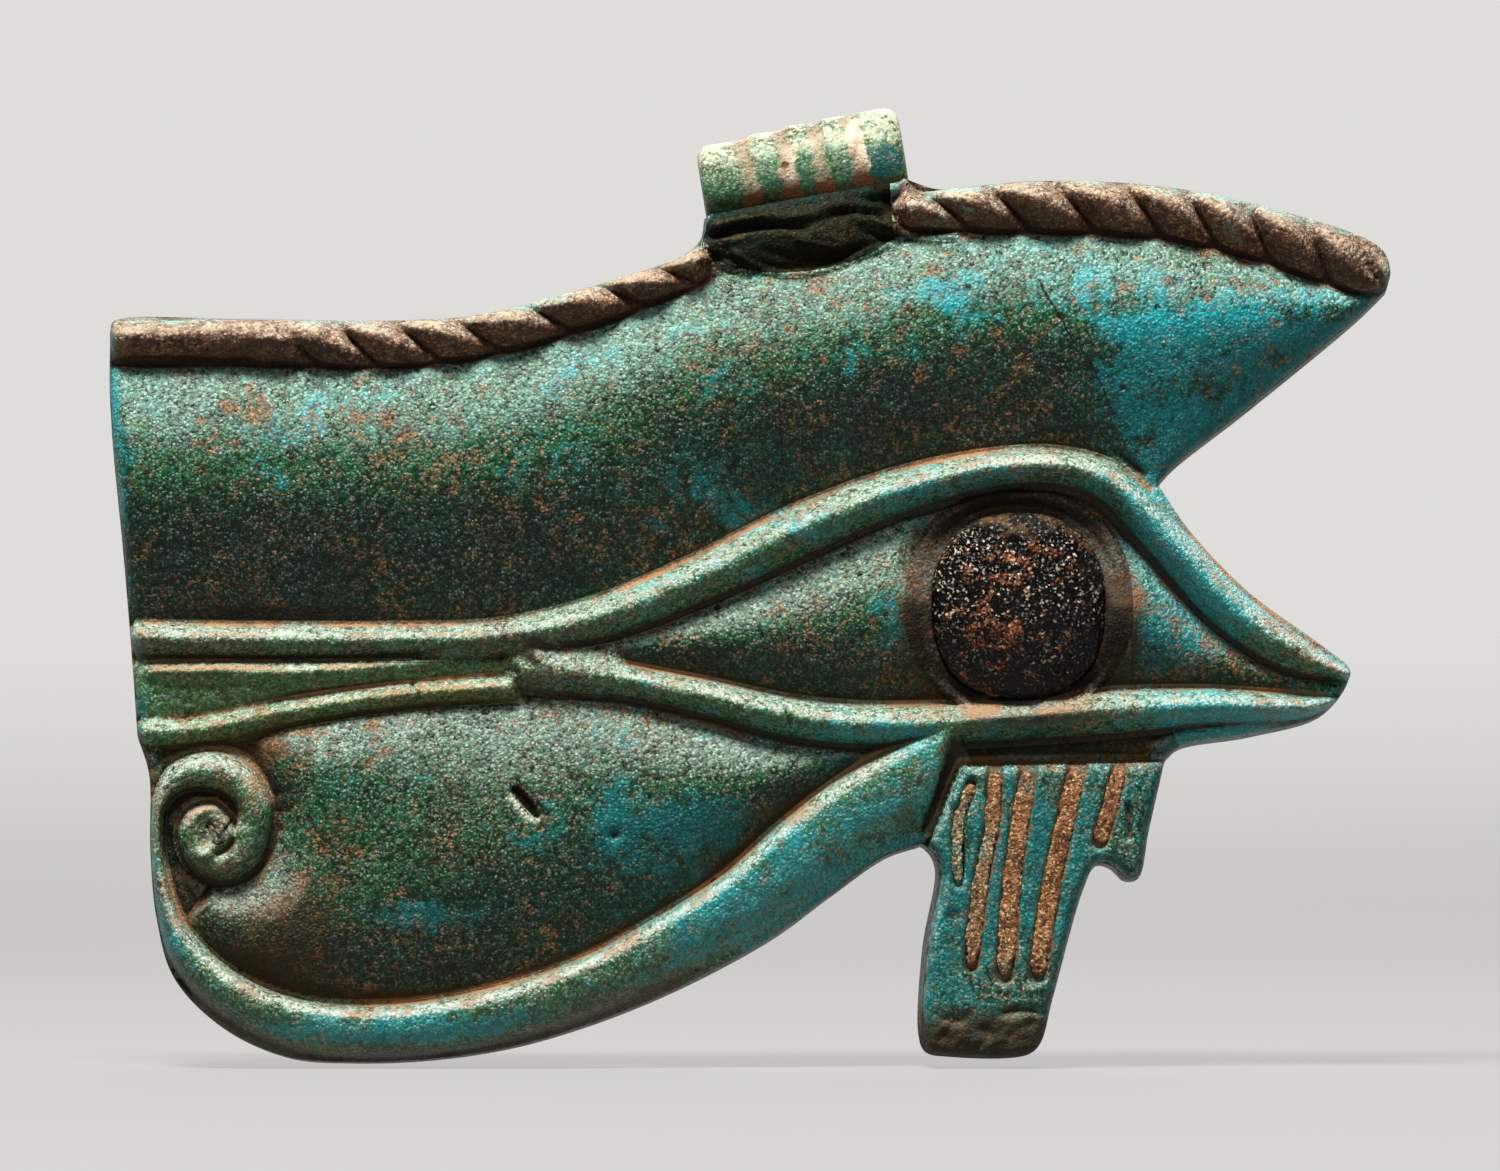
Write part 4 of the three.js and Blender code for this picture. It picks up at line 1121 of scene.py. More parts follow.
class Recipe(Nodes):
    # one material's nodes; places are in millimetres
    def __init__(self, name):
        self.material = bpy.data.materials.new(name)
        self.material.use_nodes = True
        super().__init__(self.material.node_tree)
        self.shader = self.tree.nodes["Principled BSDF"]
        place = self.add("ShaderNodeTexCoord", output="Object")
        self.place = self.add("ShaderNodeVectorMath", {"operation": "SCALE"},
                              {"Vector": place, "Scale": 1 / millimetre})
        zones = self.add("ShaderNodeAttribute", {"attribute_name": "zones"}, output="Color")
        self.tone, self.dirt, self.wearAndHighlight = (self.add("ShaderNodeSeparateColor", {}, {"Color": zones}, part)
                                           for part in ("Red", "Green", "Blue"))
        self.sunny = self.add("ShaderNodeAttribute", {"attribute_name": "zones"}, output="Alpha")
        stir = self.add("ShaderNodeTexNoise", {}, {"Vector": self.place, "Scale": 6.0, "Detail": 1.0},
                        "Color")
        stir = self.add("ShaderNodeVectorMath", {"operation": "SCALE"}, {"Vector": stir, "Scale": 0.14})
        self.grainPlace = self.add("ShaderNodeVectorMath", {"operation": "ADD"}, {0: self.place, 1: stir})

    def noise(self, size, detail=2.0, rough=0.55, twist=0.0, place=None):
        # clouds of that size in millimetres, about 0.5 in the middle
        return self.add("ShaderNodeTexNoise", {}, {
            "Vector": place or self.place, "Scale": 1 / size, "Detail": detail, "Roughness": rough,
            "Distortion": twist})

    def cells(self, size, output, place=None):
        return self.add("ShaderNodeTexVoronoi", {}, {"Vector": place or self.place, "Scale": 1 / size},
                        output)

    def perCell(self, size, place=None):
        # a random value for each grain
        return self.add("ShaderNodeSeparateColor", {}, {"Color": self.cells(size, "Color", place=place)})

    def mix(self, share, under, over):
        return self.add("ShaderNodeMix", {"data_type": "RGBA"}, {0: share, 6: under, 7: over}, 2)

    def shifted(self, reach, place=None):
        return self.add("ShaderNodeVectorMath", {"operation": "ADD"},
                        {0: place or self.place, 1: (reach * 1.0, reach * 0.7, -reach * 1.3)})

    def grains(self, size):
        # a random value for each grain and the distance from its middle
        return self.perCell(size, self.grainPlace), self.cells(size, "Distance", place=self.grainPlace)

    def finish(self, colour, roughness, height, gloss):
        # height in millimetres
        normal = self.add("ShaderNodeBump", {}, {"Height": height, "Distance": millimetre, "Strength": 1.0})
        self.feed(self.shader, {"Base Color": colour, "Roughness": roughness, "Normal": normal,
                                "Specular IOR Level": gloss})
        return self.material


def faience(name, look):
    # glaze over crushed quartz: clouds of olive, green and teal, dark and pale grains
    r = Recipe(name)
    tint = {part: shade(*value) for part, value in look.items() if part in colourParts}
    broad, middle, fine = r.noise(6.0, 3.0, 0.55), r.noise(1.6, 3.0, 0.6, 0.6), r.noise(0.4, 3.0, 0.65)
    tone = r.tone + (broad - 0.5) * 0.9 + (middle - 0.5) * 1.2 + (fine - 0.5) * 0.8 + look["tone"]
    teal = tone.between(0.5, 0.95)
    colour = r.mix(tone.between(0.1, 0.5), tint["olive"], tint["green"])
    colour = r.mix(teal, colour, tint["blue"])
    shadow = (fine * 0.55 + r.noise(0.85, 2.0, 0.5, place=r.shifted(17)) * 0.45).between(0.56, 0.38)
    deep = look["deep"] * (1 - teal * 0.6)
    colour = r.mix(shadow * deep, colour, tint["dark"])
    grain, dome = r.grains(look["grain"])
    small = r.perCell(look["grain"] * 0.6, r.shifted(5, r.grainPlace))
    colour = r.mix(grain.between(0.45, 0.05) * deep, colour, tint["dark"])
    # dark grain borders: painted shade between the grains
    colour = r.mix(dome.between(0.34, 0.62) * deep * 0.6, colour, tint["dark"])
    # painted shade: the glaze turns dark where slopes face down, less on teal
    paintedShade = (1 - r.sunny).between(0.72, 1.0) * (fine * 0.8 + 0.5)
    colour = r.mix(paintedShade * look["paintedShade"] * (1 - teal * 0.45), colour, tint["dark"])
    pale = r.mix(teal, tint["pale"], tint["paleBlue"])
    # pale mottle of the grains, stronger where slopes face up: grain colour with a painted sheen
    mottleAndSheen = (grain * 0.5 + small * 0.5).between(0.4, 0.85) * (r.sunny * 0.6 + look["even"])
    colour = r.mix(mottleAndSheen * look["mottleAndSheen"], colour, pale)
    # painted glints: pale grain tops in clusters, more where slopes face up
    crowd = (r.noise(2.4, 2.0, 0.5, place=r.shifted(9)) + r.sunny * 0.2).between(0.3, 0.66)
    paintedGlints = (grain.between(0.72, 0.9) * 0.8 + small.between(0.8, 0.95) * 0.7) * (crowd * 0.7 + 0.3)
    paintedGlints = paintedGlints * dome.between(0.5, 0.26) * (r.sunny * 0.75 + 0.25)
    colour = r.mix(paintedGlints * look["paintedGlints"], colour, pale)
    # painted sheen: the glaze turns pale where slopes face up
    paintedSheen = r.sunny.between(0.3, 0.9) * (middle * 0.9 + grain * 0.8 + small * 0.4 + fine * 0.3 - 0.65)
    colour = r.mix(paintedSheen * look["paintedSheen"], colour, pale)
    ochre = r.mix(small.between(0.2, 0.9), tint["blotch"], tint["ochre"])
    # ochre specks of the glaze, shown a little more where slopes face up as painted light
    specks = r.perCell(look["grain"] * 0.9, r.shifted(41, r.grainPlace)).between(0.74, 0.86)
    specks = specks * (r.noise(3.2, 3.0, 0.6, place=r.shifted(51)) + r.sunny * 0.08).between(0.46, 0.62)
    colour = r.mix(specks * look["speck"], colour, ochre)
    # blotches, dirt and wear, with painted light and shade by how each slope faces
    blotch = (r.noise(look["blotchSize"], 4.0, 0.7, place=r.shifted(23)) + (grain - 0.5) * 0.2
              + (r.noise(5.0, 2.0, place=r.shifted(31)) - 0.5) * 0.5 + r.dirt * look["stain"])
    blotch = blotch.between(look["blotchFrom"], look["blotchFrom"] + 0.07)
    # blotches fade where slopes face down: painted shade on them
    colour = r.mix(blotch * look["blotchAmount"] * (r.sunny * 0.5 + 0.5), colour, ochre)
    patch = r.noise(3.6, 3.0, 0.6, place=r.shifted(61)).between(0.42, 0.62)
    # dirt thins and turns sandy where slopes face up and stays dark where they face down: painted light and
    # shade on the dirt
    lit = r.sunny.between(0.3, 0.75)
    dirt = r.dirt * (fine * 1.2 + grain * 0.4 + middle * 0.4) * look["dirtAmount"]
    dirt = (dirt * (1 - lit * (1 - patch) * 0.6)).between(0.14, 0.95)
    dirtLitAndShaded = r.mix(lit * (patch * 0.55 + 0.4), tint["dirt"], tint["sandAndLitDirt"])
    colour = r.mix(dirt * 0.9, colour, dirtLitAndShaded)
    # pale wear on crests, carrying the painted highlights and rim light of the zones
    wearAndHighlight = r.wearAndHighlight * look["wearAndHighlightAmount"] * (middle * 0.9 + fine * 0.8 + grain * 0.9 + patch * 0.3 - 0.55)
    wearAndHighlight = wearAndHighlight.between(0.14, 0.85)
    wornAndHighlight = r.mix(grain.between(0.9, 0.1) * 0.45, tint["wornAndHighlight"], pale)
    rusty = (patch * 0.5 + r.noise(1.1, 3.0, 0.65, place=r.shifted(71)) + r.dirt * 0.25).between(0.68, 0.92)
    wornAndHighlight = r.mix(rusty * look["rusty"], wornAndHighlight, r.mix(small, tint["sandAndLitDirt"], tint["ochre"]))
    colour = r.mix(wearAndHighlight * 0.85, colour, wornAndHighlight)
    pits = r.cells(look["pitSize"], "Distance", place=r.shifted(77)).between(0.14, 0.05)
    pits = pits * r.perCell(look["pitSize"], r.shifted(77)).between(0.7, 0.74)
    for start, end, wide in look["cracks"]:
        pits = r.sum("MAXIMUM", pits, crackLine(r, start, end, wide))
    colour = r.mix(pits * 0.9, colour, tint["dirt"])
    roughness = (look["rough"] + (fine - 0.5) * 0.3 + dirt * 0.3 + blotch * 0.25 + wearAndHighlight * 0.1
                 + (small - 0.5) * 0.35)
    height = ((0.5 - dome) * (grain * 0.9 + 0.25) * look["grainHeight"] + small * 0.012 + fine * 0.06
              + middle * 0.04 - pits * 0.1 - blotch * 0.02)
    return r.finish(colour, roughness, height, look["gloss"])


def crackLine(r, start, end, wide):
    # 1 on a fine, slightly wandering crack between two photo pixels
    (sx, sz), (ex, ez) = atPixel(*start), atPixel(*end)
    length = math.hypot(ex - sx, ez - sz)
    wayX, wayZ = (ex - sx) / length, (ez - sz) / length
    x, z = (r.add("ShaderNodeSeparateXYZ", {}, {"Vector": r.place}, axis) for axis in ("X", "Z"))
    run = (x - sx) * wayX + (z - sz) * wayZ
    aside = (x - sx) * wayZ - (z - sz) * wayX
    aside = aside + (r.noise(2.2, 1.0) - 0.5) * 0.9 + (r.noise(0.35, 2.0) - 0.5) * 0.16
    return (r.sum("ABSOLUTE", aside).between(wide, wide * 0.4) * run.between(0, 0.6)
            * run.between(length, length - 0.6))


# The glazes' looks: colours, then how strong, large or frequent each trait is
plainLook = {
    "olive": (48, 58, 18), "green": (26, 92, 50), "blue": (0, 114, 112), "dark": (3, 20, 9),
    "tone": 0.0, "pale": (194, 214, 198), "paleBlue": (140, 204, 198), "blotch": (92, 50, 22),
    "ochre": (172, 120, 76), "dirt": (26, 18, 10), "sandAndLitDirt": (140, 98, 58), "wornAndHighlight": (206, 202, 178),
    "deep": 0.75, "grain": 0.155, "mottleAndSheen": 0.3, "paintedGlints": 0.75, "speck": 0.3, "paintedSheen": 0.45,
    "blotchSize": 0.9, "blotchFrom": 0.62, "blotchAmount": 0.85, "dirtAmount": 1.1, "wearAndHighlightAmount": 1.0,
    "paintedShade": 0.85, "rough": 0.42, "gloss": 0.2, "stain": 0.1, "rusty": 0.5, "even": 0.2, "pitSize": 1.7,
    "grainHeight": 0.1, "cracks": [],
}
colourParts = [part for part, value in plainLook.items() if isinstance(value, tuple)]
looks = {
    "brow": {"green": (22, 98, 52), "blue": (0, 150, 154), "tone": -0.03, "pale": (178, 212, 196),
             "paleBlue": (132, 206, 204), "paintedGlints": 0.85, "paintedSheen": 0.5, "paintedShade": 0.9,
             "cracks": [((1035, 276), (1114, 416), 0.055), ((779, 396), (786, 480), 0.035)]},
    "lids": {"olive": (84, 96, 38), "green": (56, 126, 66), "blue": (0, 144, 142),
             "pale": (190, 204, 190), "dirt": (46, 30, 16), "sandAndLitDirt": (168, 126, 84),
             "wornAndHighlight": (196, 196, 180), "deep": 0.55, "mottleAndSheen": 0.42, "paintedGlints": 0.8, "speck": 0.35,
             "paintedSheen": 0.6, "blotchFrom": 0.63, "wearAndHighlightAmount": 0.75, "paintedShade": 0.5, "rough": 0.38,
             "gloss": 0.42, "rusty": 0.75, "even": 0.5, "grainHeight": 0.09,
             "cracks": [((784, 704), (791, 732), 0.05)]},
    "olive": {"tone": -0.03, "dirt": (48, 33, 17), "paintedSheen": 0.5, "blotchFrom": 0.61, "stain": 0.16},
    "tail": {"olive": (112, 120, 44), "green": (80, 136, 62), "dirt": (50, 32, 16),
             "sandAndLitDirt": (176, 128, 84), "deep": 0.5, "mottleAndSheen": 0.4, "paintedGlints": 0.8, "speck": 0.4,
             "paintedSheen": 0.6, "wearAndHighlightAmount": 0.85, "paintedShade": 0.3, "rough": 0.38, "gloss": 0.3, "stain": 0.14,
             "rusty": 0.9, "even": 0.5},
    "rope": {"olive": (90, 54, 34), "green": (118, 78, 54), "blue": (104, 150, 134), "dark": (36, 21, 12),
             "tone": -0.12, "pale": (206, 190, 166), "paleBlue": (170, 204, 192), "blotch": (112, 66, 38),
             "ochre": (190, 148, 108), "dirt": (30, 17, 9), "sandAndLitDirt": (112, 96, 80),
             "wornAndHighlight": (196, 174, 146), "deep": 0.6, "paintedGlints": 0.9, "speck": 0.5, "paintedSheen": 0.35,
             "wearAndHighlightAmount": 0.7, "paintedShade": 0.5, "rough": 0.55, "gloss": 0.22, "stain": 0.04, "pitSize": 0.9,
             "grainHeight": 0.08},
    # the saddle's near-black glaze: its own dark olive glaze, darkened further as a painted shade from the
    # tube above
    "dark": {"olive": (26, 18, 8), "green": (24, 30, 12), "blue": (10, 30, 24), "dark": (9, 7, 3),
             "pale": (96, 104, 72), "paleBlue": (74, 104, 88), "blotch": (50, 30, 14),
             "ochre": (92, 62, 38), "sandAndLitDirt": (58, 38, 20), "wornAndHighlight": (104, 76, 50), "mottleAndSheen": 0.12,
             "paintedGlints": 0.25, "speck": 0.14, "paintedSheen": 0.06, "blotchAmount": 0.2, "wearAndHighlightAmount": 0.55,
             "rough": 0.62, "gloss": 0.07, "stain": 0.02, "grainHeight": 0.07},
    "rim": {"olive": (40, 30, 20), "green": (58, 46, 34), "blue": (56, 54, 44), "pale": (176, 168, 144),
            "paleBlue": (150, 156, 140), "sandAndLitDirt": (76, 58, 40), "wornAndHighlight": (180, 166, 138), "paintedGlints": 0.4,
            "speck": 0.45, "paintedSheen": 0.15, "rough": 0.55, "stain": 0.04},
    "tube": {"olive": (70, 86, 38), "green": (66, 124, 82), "blue": (6, 90, 86), "dark": (30, 42, 22),
             "tone": -0.08, "pale": (190, 200, 176), "paleBlue": (140, 176, 166), "ochre": (190, 144, 98),
             "dirt": (112, 68, 34), "sandAndLitDirt": (244, 218, 190), "wornAndHighlight": (184, 188, 162), "deep": 0.45,
             "mottleAndSheen": 0.2, "paintedGlints": 0.45, "paintedSheen": 0.1, "blotchFrom": 0.7, "dirtAmount": 1.35,
             "rough": 0.36, "stain": 0.03, "rusty": 0.35, "grainHeight": 0.06},
    "drop": {"olive": (66, 78, 38), "green": (34, 100, 74), "blue": (10, 108, 104), "tone": 0.08,
             "blotch": (104, 66, 32), "dirt": (44, 30, 12), "sandAndLitDirt": (124, 92, 56), "paintedGlints": 0.95,
             "paintedSheen": 0.2, "wearAndHighlightAmount": 0.3, "paintedShade": 0.3, "stain": 0.16, "even": 0.4,
             "grainHeight": 0.07},
    "plate": {"olive": (78, 70, 42), "green": (56, 82, 58), "blue": (48, 96, 90), "tone": -0.1,
              "blotch": (120, 90, 58), "mottleAndSheen": 0.2, "paintedGlints": 0.5, "blotchFrom": 0.6,
              "grainHeight": 0.07},
}
finishes = {name: faience(f"{name}Glaze", {**plainLook, **change}) for name, change in looks.items()}


def pupilFinish():
    # near-black glass with rusty grains in it; painted glints on single grains, fewer towards the bottom;
    # tan along its edge and at its top, where it is a painted sheen
    r = Recipe("pupilGlaze")
    grain, dome = r.grains(0.2)
    small = r.perCell(0.1, r.shifted(3, r.grainPlace))
    lumps, fine = r.noise(0.9, 3.0, 0.6), r.noise(0.3, 3.0, 0.6)
    rust = (grain - 0.5) * 0.5 + (small - 0.5) * 0.3 + (lumps - 0.5) * 2.2 + r.tone - 0.5
    rust = rust.between(0.12, 0.5)
    colour = r.mix(rust * 0.9, shade(8, 6, 4), r.mix(small, shade(66, 28, 10), shade(146, 84, 46)))
    # painted glints, fewer towards the bottom
    glints = small.between(0.87, 0.96) * (r.noise(1.1, 2.0, place=r.shifted(13)) * 1.3 + 0.05)
    colour = r.mix(glints * (r.sunny * 0.75 + 0.1), colour, shade(222, 204, 178))
    # tan along the edge and at the top, where it is a painted sheen
    tanCloudShare = (r.dirt * (fine * 1.2 + 0.4)).between(0.2, 0.9)
    tanCloud = r.mix(lumps.between(0.45, 0.6), shade(24, 21, 17), shade(92, 70, 42))
    colour = r.mix(tanCloudShare * 0.7, colour, tanCloud)
    colour = r.mix((r.wearAndHighlight * (fine + 0.4)).between(0.3, 0.8) * 0.6, colour, shade(110, 96, 80))
    roughness = 0.28 + rust * 0.2 + tanCloudShare * 0.3 + (grain - 0.5) * 0.44
    height = (0.5 - dome) * (grain * 0.8 + 0.3) * 0.13 + small * 0.02 + lumps * 0.14 + fine * 0.05
    return r.finish(colour, roughness, height, 0.15)


def fillFinish():
    # matte, sandy orange-brown paste
    r = Recipe("fillPaste")
    grain, dome = r.grains(0.13)
    small = r.perCell(0.09, r.shifted(3, r.grainPlace))
    lumps, fine = r.noise(0.7, 3.0, 0.6), r.noise(0.2, 3.0, 0.65)
    colour = r.mix(lumps.between(0.34, 0.66), shade(104, 66, 40), shade(156, 106, 66))
    # in the paste this share holds the spots that are glazed over
    colour = r.mix(r.wearAndHighlight, colour, r.mix(r.tone, shade(56, 110, 96), shade(150, 142, 108)))
    colour = r.mix(grain.between(0.5, 0.05) * 0.8, colour, shade(56, 32, 16))
    colour = r.mix(small.between(0.7, 0.95) * 0.7, colour, shade(226, 186, 140))
    height = (0.5 - dome) * (grain + 0.3) * 0.07 + small * 0.015 + lumps * 0.04 + fine * 0.04
    return r.finish(colour, 0.85 - (fine - 0.5) * 0.2, height, 0.2)


finishes["pupil"], finishes["fill"] = pupilFinish(), fillFinish()
print("glazes ready")

# Coils: columns across, step along, how far a piece may spread over its sides, and what it runs on
# before and after the course so as to lie below its neighbours
coilPieces = [
    {"name": "upperLid", "columns": 30, "step": 0.12, "node": "upper_lid",
     "slotName": "turquoise_glaze", "finish": "lids"},
    {"name": "lowerLid", "columns": 28, "step": 0.12, "cover": (0.9, 0), "node": "lower_lid",
     "slotName": "turquoise_glaze", "finish": "lids"},
    {"name": "lowerTail", "columns": 20, "step": 0.12, "reachOut": 0.2, "cover": (0, 0.5),
     "node": "lower_tail", "slotName": "olive_glaze", "finish": "tail"},
    {"name": "cheekBand", "columns": 30, "step": 0.12, "limit": bandLimit, "cover": (0.3, 0),
     "node": "cheek_band", "slotName": "turquoise_glaze", "finish": "lids"},
    {"name": "ropeLeft", "columns": 30, "step": 0.1, "cover": (0, 1.0), "node": "brow_rope_left",
     "slotName": "rope_glaze", "finish": "rope"},
    {"name": "ropeRight", "columns": 30, "step": 0.1, "cover": (1.0, 0), "node": "brow_rope_right",
     "slotName": "rope_glaze", "finish": "rope"},
    {"name": "saddle", "columns": 30, "step": 0.1, "reachOut": 2.6, "cover": (0.3, 0.3),
     "node": "tube_saddle", "slotName": "dark_glaze", "finish": "dark"},
    {"name": "pupilRim", "course": "rim", "columns": 12, "step": 0.12, "reachOut": 0.1,
     "node": "pupil_rim", "slotName": "dark_glaze", "finish": "rim"},
]
for piece in coilPieces:
    stripPiece(**piece)
print("coils made")


def dropZones(points):
    # sand along the flutes, which frays out over the ribs
    x, y, z = points.T
    tone, dirt, wearAndHighlight, sunny = plainZones(points)
    beyond = np.minimum.reduce([nearOn(courses[name], x, z)["edge"] for name in fluteNames[1:]])
    sandy = smoothStep(0.24, 0.02, beyond + 0.06 * waves(x, z, 0.5, 65, 16) + 0.05 * waves(x, z, 1.6, 66))
    return tone, np.maximum(dirt, 0.9 * sandy), wearAndHighlight, np.maximum(sunny, 0.8 * sandy)


# Fields: the box that a piece is cut from, low and high corner, and the coils that border it
middle = pupilShape["place"][0]
fieldPieces = [
    {"name": "browBand", "box": ((-32.8, -22.0), (27.8, 0.5)), "spacing": 0.14, "region": "brow",
     "borders": ["upperLid", "ropeLeft", "ropeRight", "saddle"], "node": "brow_band",
     "slotName": "brow_glaze", "finish": "brow"},
    {"name": "cheekPanel", "box": ((-27.5, -40.5), (9.0, -22.5)), "spacing": 0.14, "region": "cheek",
     "borders": ["lowerTail", "lowerLid", "curl", "band"], "node": "cheek_panel",
     "slotName": "olive_glaze", "finish": "olive"},
    {"name": "tailPanel", "box": ((-32.5, -27.0), (-9.0, -20.5)), "spacing": 0.12, "region": "tail",
     "borders": ["upperLid", "lowerTail", "lowerLid"], "node": "tail_panel",
     "slotName": "olive_glaze", "finish": "tail"},
    {"name": "eyeWhiteInner", "box": ((-11.0, -27.0), (middle, -14.0)), "spacing": 0.12, "region": "eye",
     "borders": ["upperLid", "lowerLid", "rim"], "node": "eye_white_inner",
     "slotName": "olive_glaze", "finish": "olive"},
    {"name": "eyeWhiteOuter", "box": ((middle, -27.0), (26.0, -14.0)), "spacing": 0.12, "region": "eye",
     "borders": ["upperLid", "lowerLid", "rim"], "node": "eye_white_outer",
     "slotName": "olive_glaze", "finish": "olive"},
    {"name": "ribbedDrop", "box": ((4.5, -42.0), (17.5, -27.0)), "spacing": 0.1, "limit": dropLimit,
     "node": "ribbed_drop", "slotName": "turquoise_glaze", "finish": "drop", "zones": dropZones},
]
for piece in fieldPieces:
    fieldPiece(**piece)
print("fields made")

# The pupil's dents (photo pixel, reach and depth), bubbles (photo pixel, reaches and height), and
# where rust gathers and where it turns tan, which at its top is a painted sheen
pupilMarks = [(978, 532, 0.22, 0.25), (1060, 668, 0.35, 0.1), (1010, 560, 0.5, 0.08)]
pupilRings = [(1061, 668, 0.74, 0.42, 0.12), (979, 531, 0.3, 0.3, 0.1)]
rustSpots = [(1012, 572, 34, 26, 0.36), (1000, 632, 40, 22, 0.36), (1045, 548, 20, 16, 0.2)]
tanSpots = [(1025, 524, 52, 16, 1.0), (1085, 570, 14, 40, 0.5)]


def pupilZones(points):
    x, y, z = points.T
    reach = pupilReach(x, z)
    # tan along the edge and at the top: a painted sheen at the top
    tanCloud = 0.5 * smoothStep(0.85, 1.0, reach) + blobs(tanSpots, x, z)
    # the upper part, where the painted glints gather
    lit = smoothStep(-23.0, -19.5, z + 0.4 * waves(x, z, 2, 33))
    return 0.36 + blobs(rustSpots, x, z), tanCloud, smoothStep(0.9, 1.0, reach) * 0.3, lit


def makePupil():
    steps = int(pupilShape["steps"] / fineness)
    bm, u, v = gridPiece(steps, steps)
    a, b = 2 * u - 1, 2 * v - 1
    reach = np.maximum(np.abs(a), np.abs(b))
    power = pupilShape["square"]
    size = np.maximum((np.abs(a) ** power + np.abs(b) ** power) ** (1 / power), 1e-6)
    within = pupilShape["within"] * reach / size
    x = pupilShape["place"][0] + a * within * pupilShape["halfWidth"]
    z = pupilShape["place"][1] + b * within * pupilShape["halfHeight"]
    height = pupilHeight(x, z) + 0.05 * waves(x, z, 2.2, 31) + 0.03 * waves(x, z, 0.9, 32)
    for px, py, wide, deep in pupilMarks:
        height -= deep * spotAt(px, py, wide, wide, x, z)
    for px, py, wide, high, proud in pupilRings:
        cx, cz = atPixel(px, py)
        ring = np.hypot((x - cx) / wide, (z - cz) / high) - 1
        height += proud * np.exp(-(ring * min(wide, high) / 0.1) ** 2)
    moveAll(bm, np.column_stack([x, amulet["front"] - np.minimum(height, pupilShape["rise"]), z]))
    closeBehind(bm)
    finishPiece("pupil", bm, "pupil", "pupil_glaze", "pupil", pupilZones)


makePupil()

# Paste in the flutes: heights of its face and its foot, how ragged and crowned it is, and how far it
# spreads over the flute's edge; spots that are glazed over
fill = {"level": 1.59, "foot": 0.4, "ragged": 0.04, "crown": 0.01, "over": 0.09,
        "columns": 14, "step": 0.07}
glazedOver = [(955, 860, 22, 90, 1.0), (978, 846, 16, 20, 1.1), (1030, 786, 20, 12, 0.7),
              (1002, 972, 16, 22, 0.7), (972, 985, 16, 16, 0.6)]
fillWidths = {  # place along, share of the flute's width that is filled there
    1: [(0, 0.7), (0.3, 0.9), (0.6, 0.8), (0.85, 0.9), (1, 0.6)],
    2: [(0, 0.9), (0.25, 0.95), (0.36, 0.7), (0.46, 0.85), (0.6, 1.0), (0.88, 0.95), (1, 0.5)],
    3: [(0, 0.6), (0.07, 0.9), (0.6, 1.0), (0.86, 0.95), (1, 0.6)],
    4: [(0, 0.95), (0.5, 1.0), (0.94, 0.95), (1, 0.6)],
    5: [(0, 0.85), (0.5, 0.95), (0.9, 1.0), (1, 0.8)],
}


def fillZones(points):
    x, y, z = points.T
    glazed = blobs(glazedOver, x, z) * (0.75 + 0.3 * waves(x, z, 0.6, 57, 16))
    return 0.5 + 0.4 * waves(x, z, 0.7, 58), x * 0, glazed, x * 0


def makeFill(number):
    coil = courses[f"flute{number}"]
    rows = coil["rows"]
    bm, u, column, below = rolledGrid(int(coil["along"][-1] / fill["step"] / fineness), fill["columns"])
    share = 2 * column / fill["columns"] - 1
    along = coil["along"][-1] * (u * 1.02 - 0.01)
    x, z = (np.interp(along, coil["along"], rows[:, k]) for k in (0, 1))
    way = np.gradient(rows[:, :2], axis=0)
    way /= np.hypot(*way.T)[:, None]
    wayX, wayZ = (np.interp(along, coil["along"], way[:, k]) for k in (0, 1))
    taper = np.sqrt(np.clip(1 - (2 * u - 1) ** 14, 0, 1))
    side = np.sign(share)
    ragged = fill["ragged"] * (waves(along, side * 3.0, 0.3, 40 + number, 16)
                               + waves(along, side * 9, 1.1, 50 + number))
    whole = np.interp(u, *zip(*fillWidths[number]))
    whole = whole * smoothStep(-0.2, 1.6, whole / 0.5 + 0.25 * waves(along, side * 5, 0.6, 55 + number))
    aside = share * (flutes["widths"][number - 1] / 2 * whole + fill["over"] + ragged) * taper
    x, z = x - wayZ * aside, z + wayX * aside
    top = fill["level"] + fill["crown"] * (1 - share ** 2) * taper - 0.1 * np.abs(share) ** 6
    top = top + 0.022 * waves(x, z, 0.3, 60 + number, 16) + 0.02 * waves(x, z, 1.2, 70 + number)
    top -= 0.25 * (1 - taper)
    moveAll(bm, np.column_stack([x, amulet["front"] - np.where(below, fill["foot"], top), z]))
    weldStrip(bm)
    finishPiece(f"dropFill{number}", bm, f"drop_fill_{number}", "fill_paste", "fill", fillZones)


for number in range(1, 6):
    makeFill(number)
print("inlays made")

tube = {
    "length": 9.55, "ribs": (1.96, 2.14, 2.27, 2.36, 2.41), "grooves": (0.23, 0.425, 0.59, 0.775),
    "grooveDepth": 0.07, "grooveHalf": 0.3, "bore": 0.95, "flare": 0.25, "tilt": math.radians(9),
    "endRound": 0.6,
    "samples": 200, "lengthwise": 150, "around": 110,  # of its profile, and of its grid
    "outside": 1.3,  # beyond this radius it is uneven
    "wanders": 4.2,  # as far as this from the middle its ribs wander lengthwise
}


def tubeRadius(share):
    # ribs that widen to the right, with the grooves between them
    ribs = np.array(tube["ribs"])
    which = np.searchsorted(tube["grooves"], share)
    ends = np.array([0, *tube["grooves"], 1])
    place = (share - ends[which]) / (ends[which + 1] - ends[which])
    near = np.abs(share[:, None] - np.array(tube["grooves"])).min(axis=1) * tube["length"]
    groove = tube["grooveDepth"] * np.exp(-(near / tube["grooveHalf"]) ** 2)
    return boxSmooth(ribs[which][:, None], 8)[:, 0] - groove - 0.03 * (2 * place - 1) ** 2


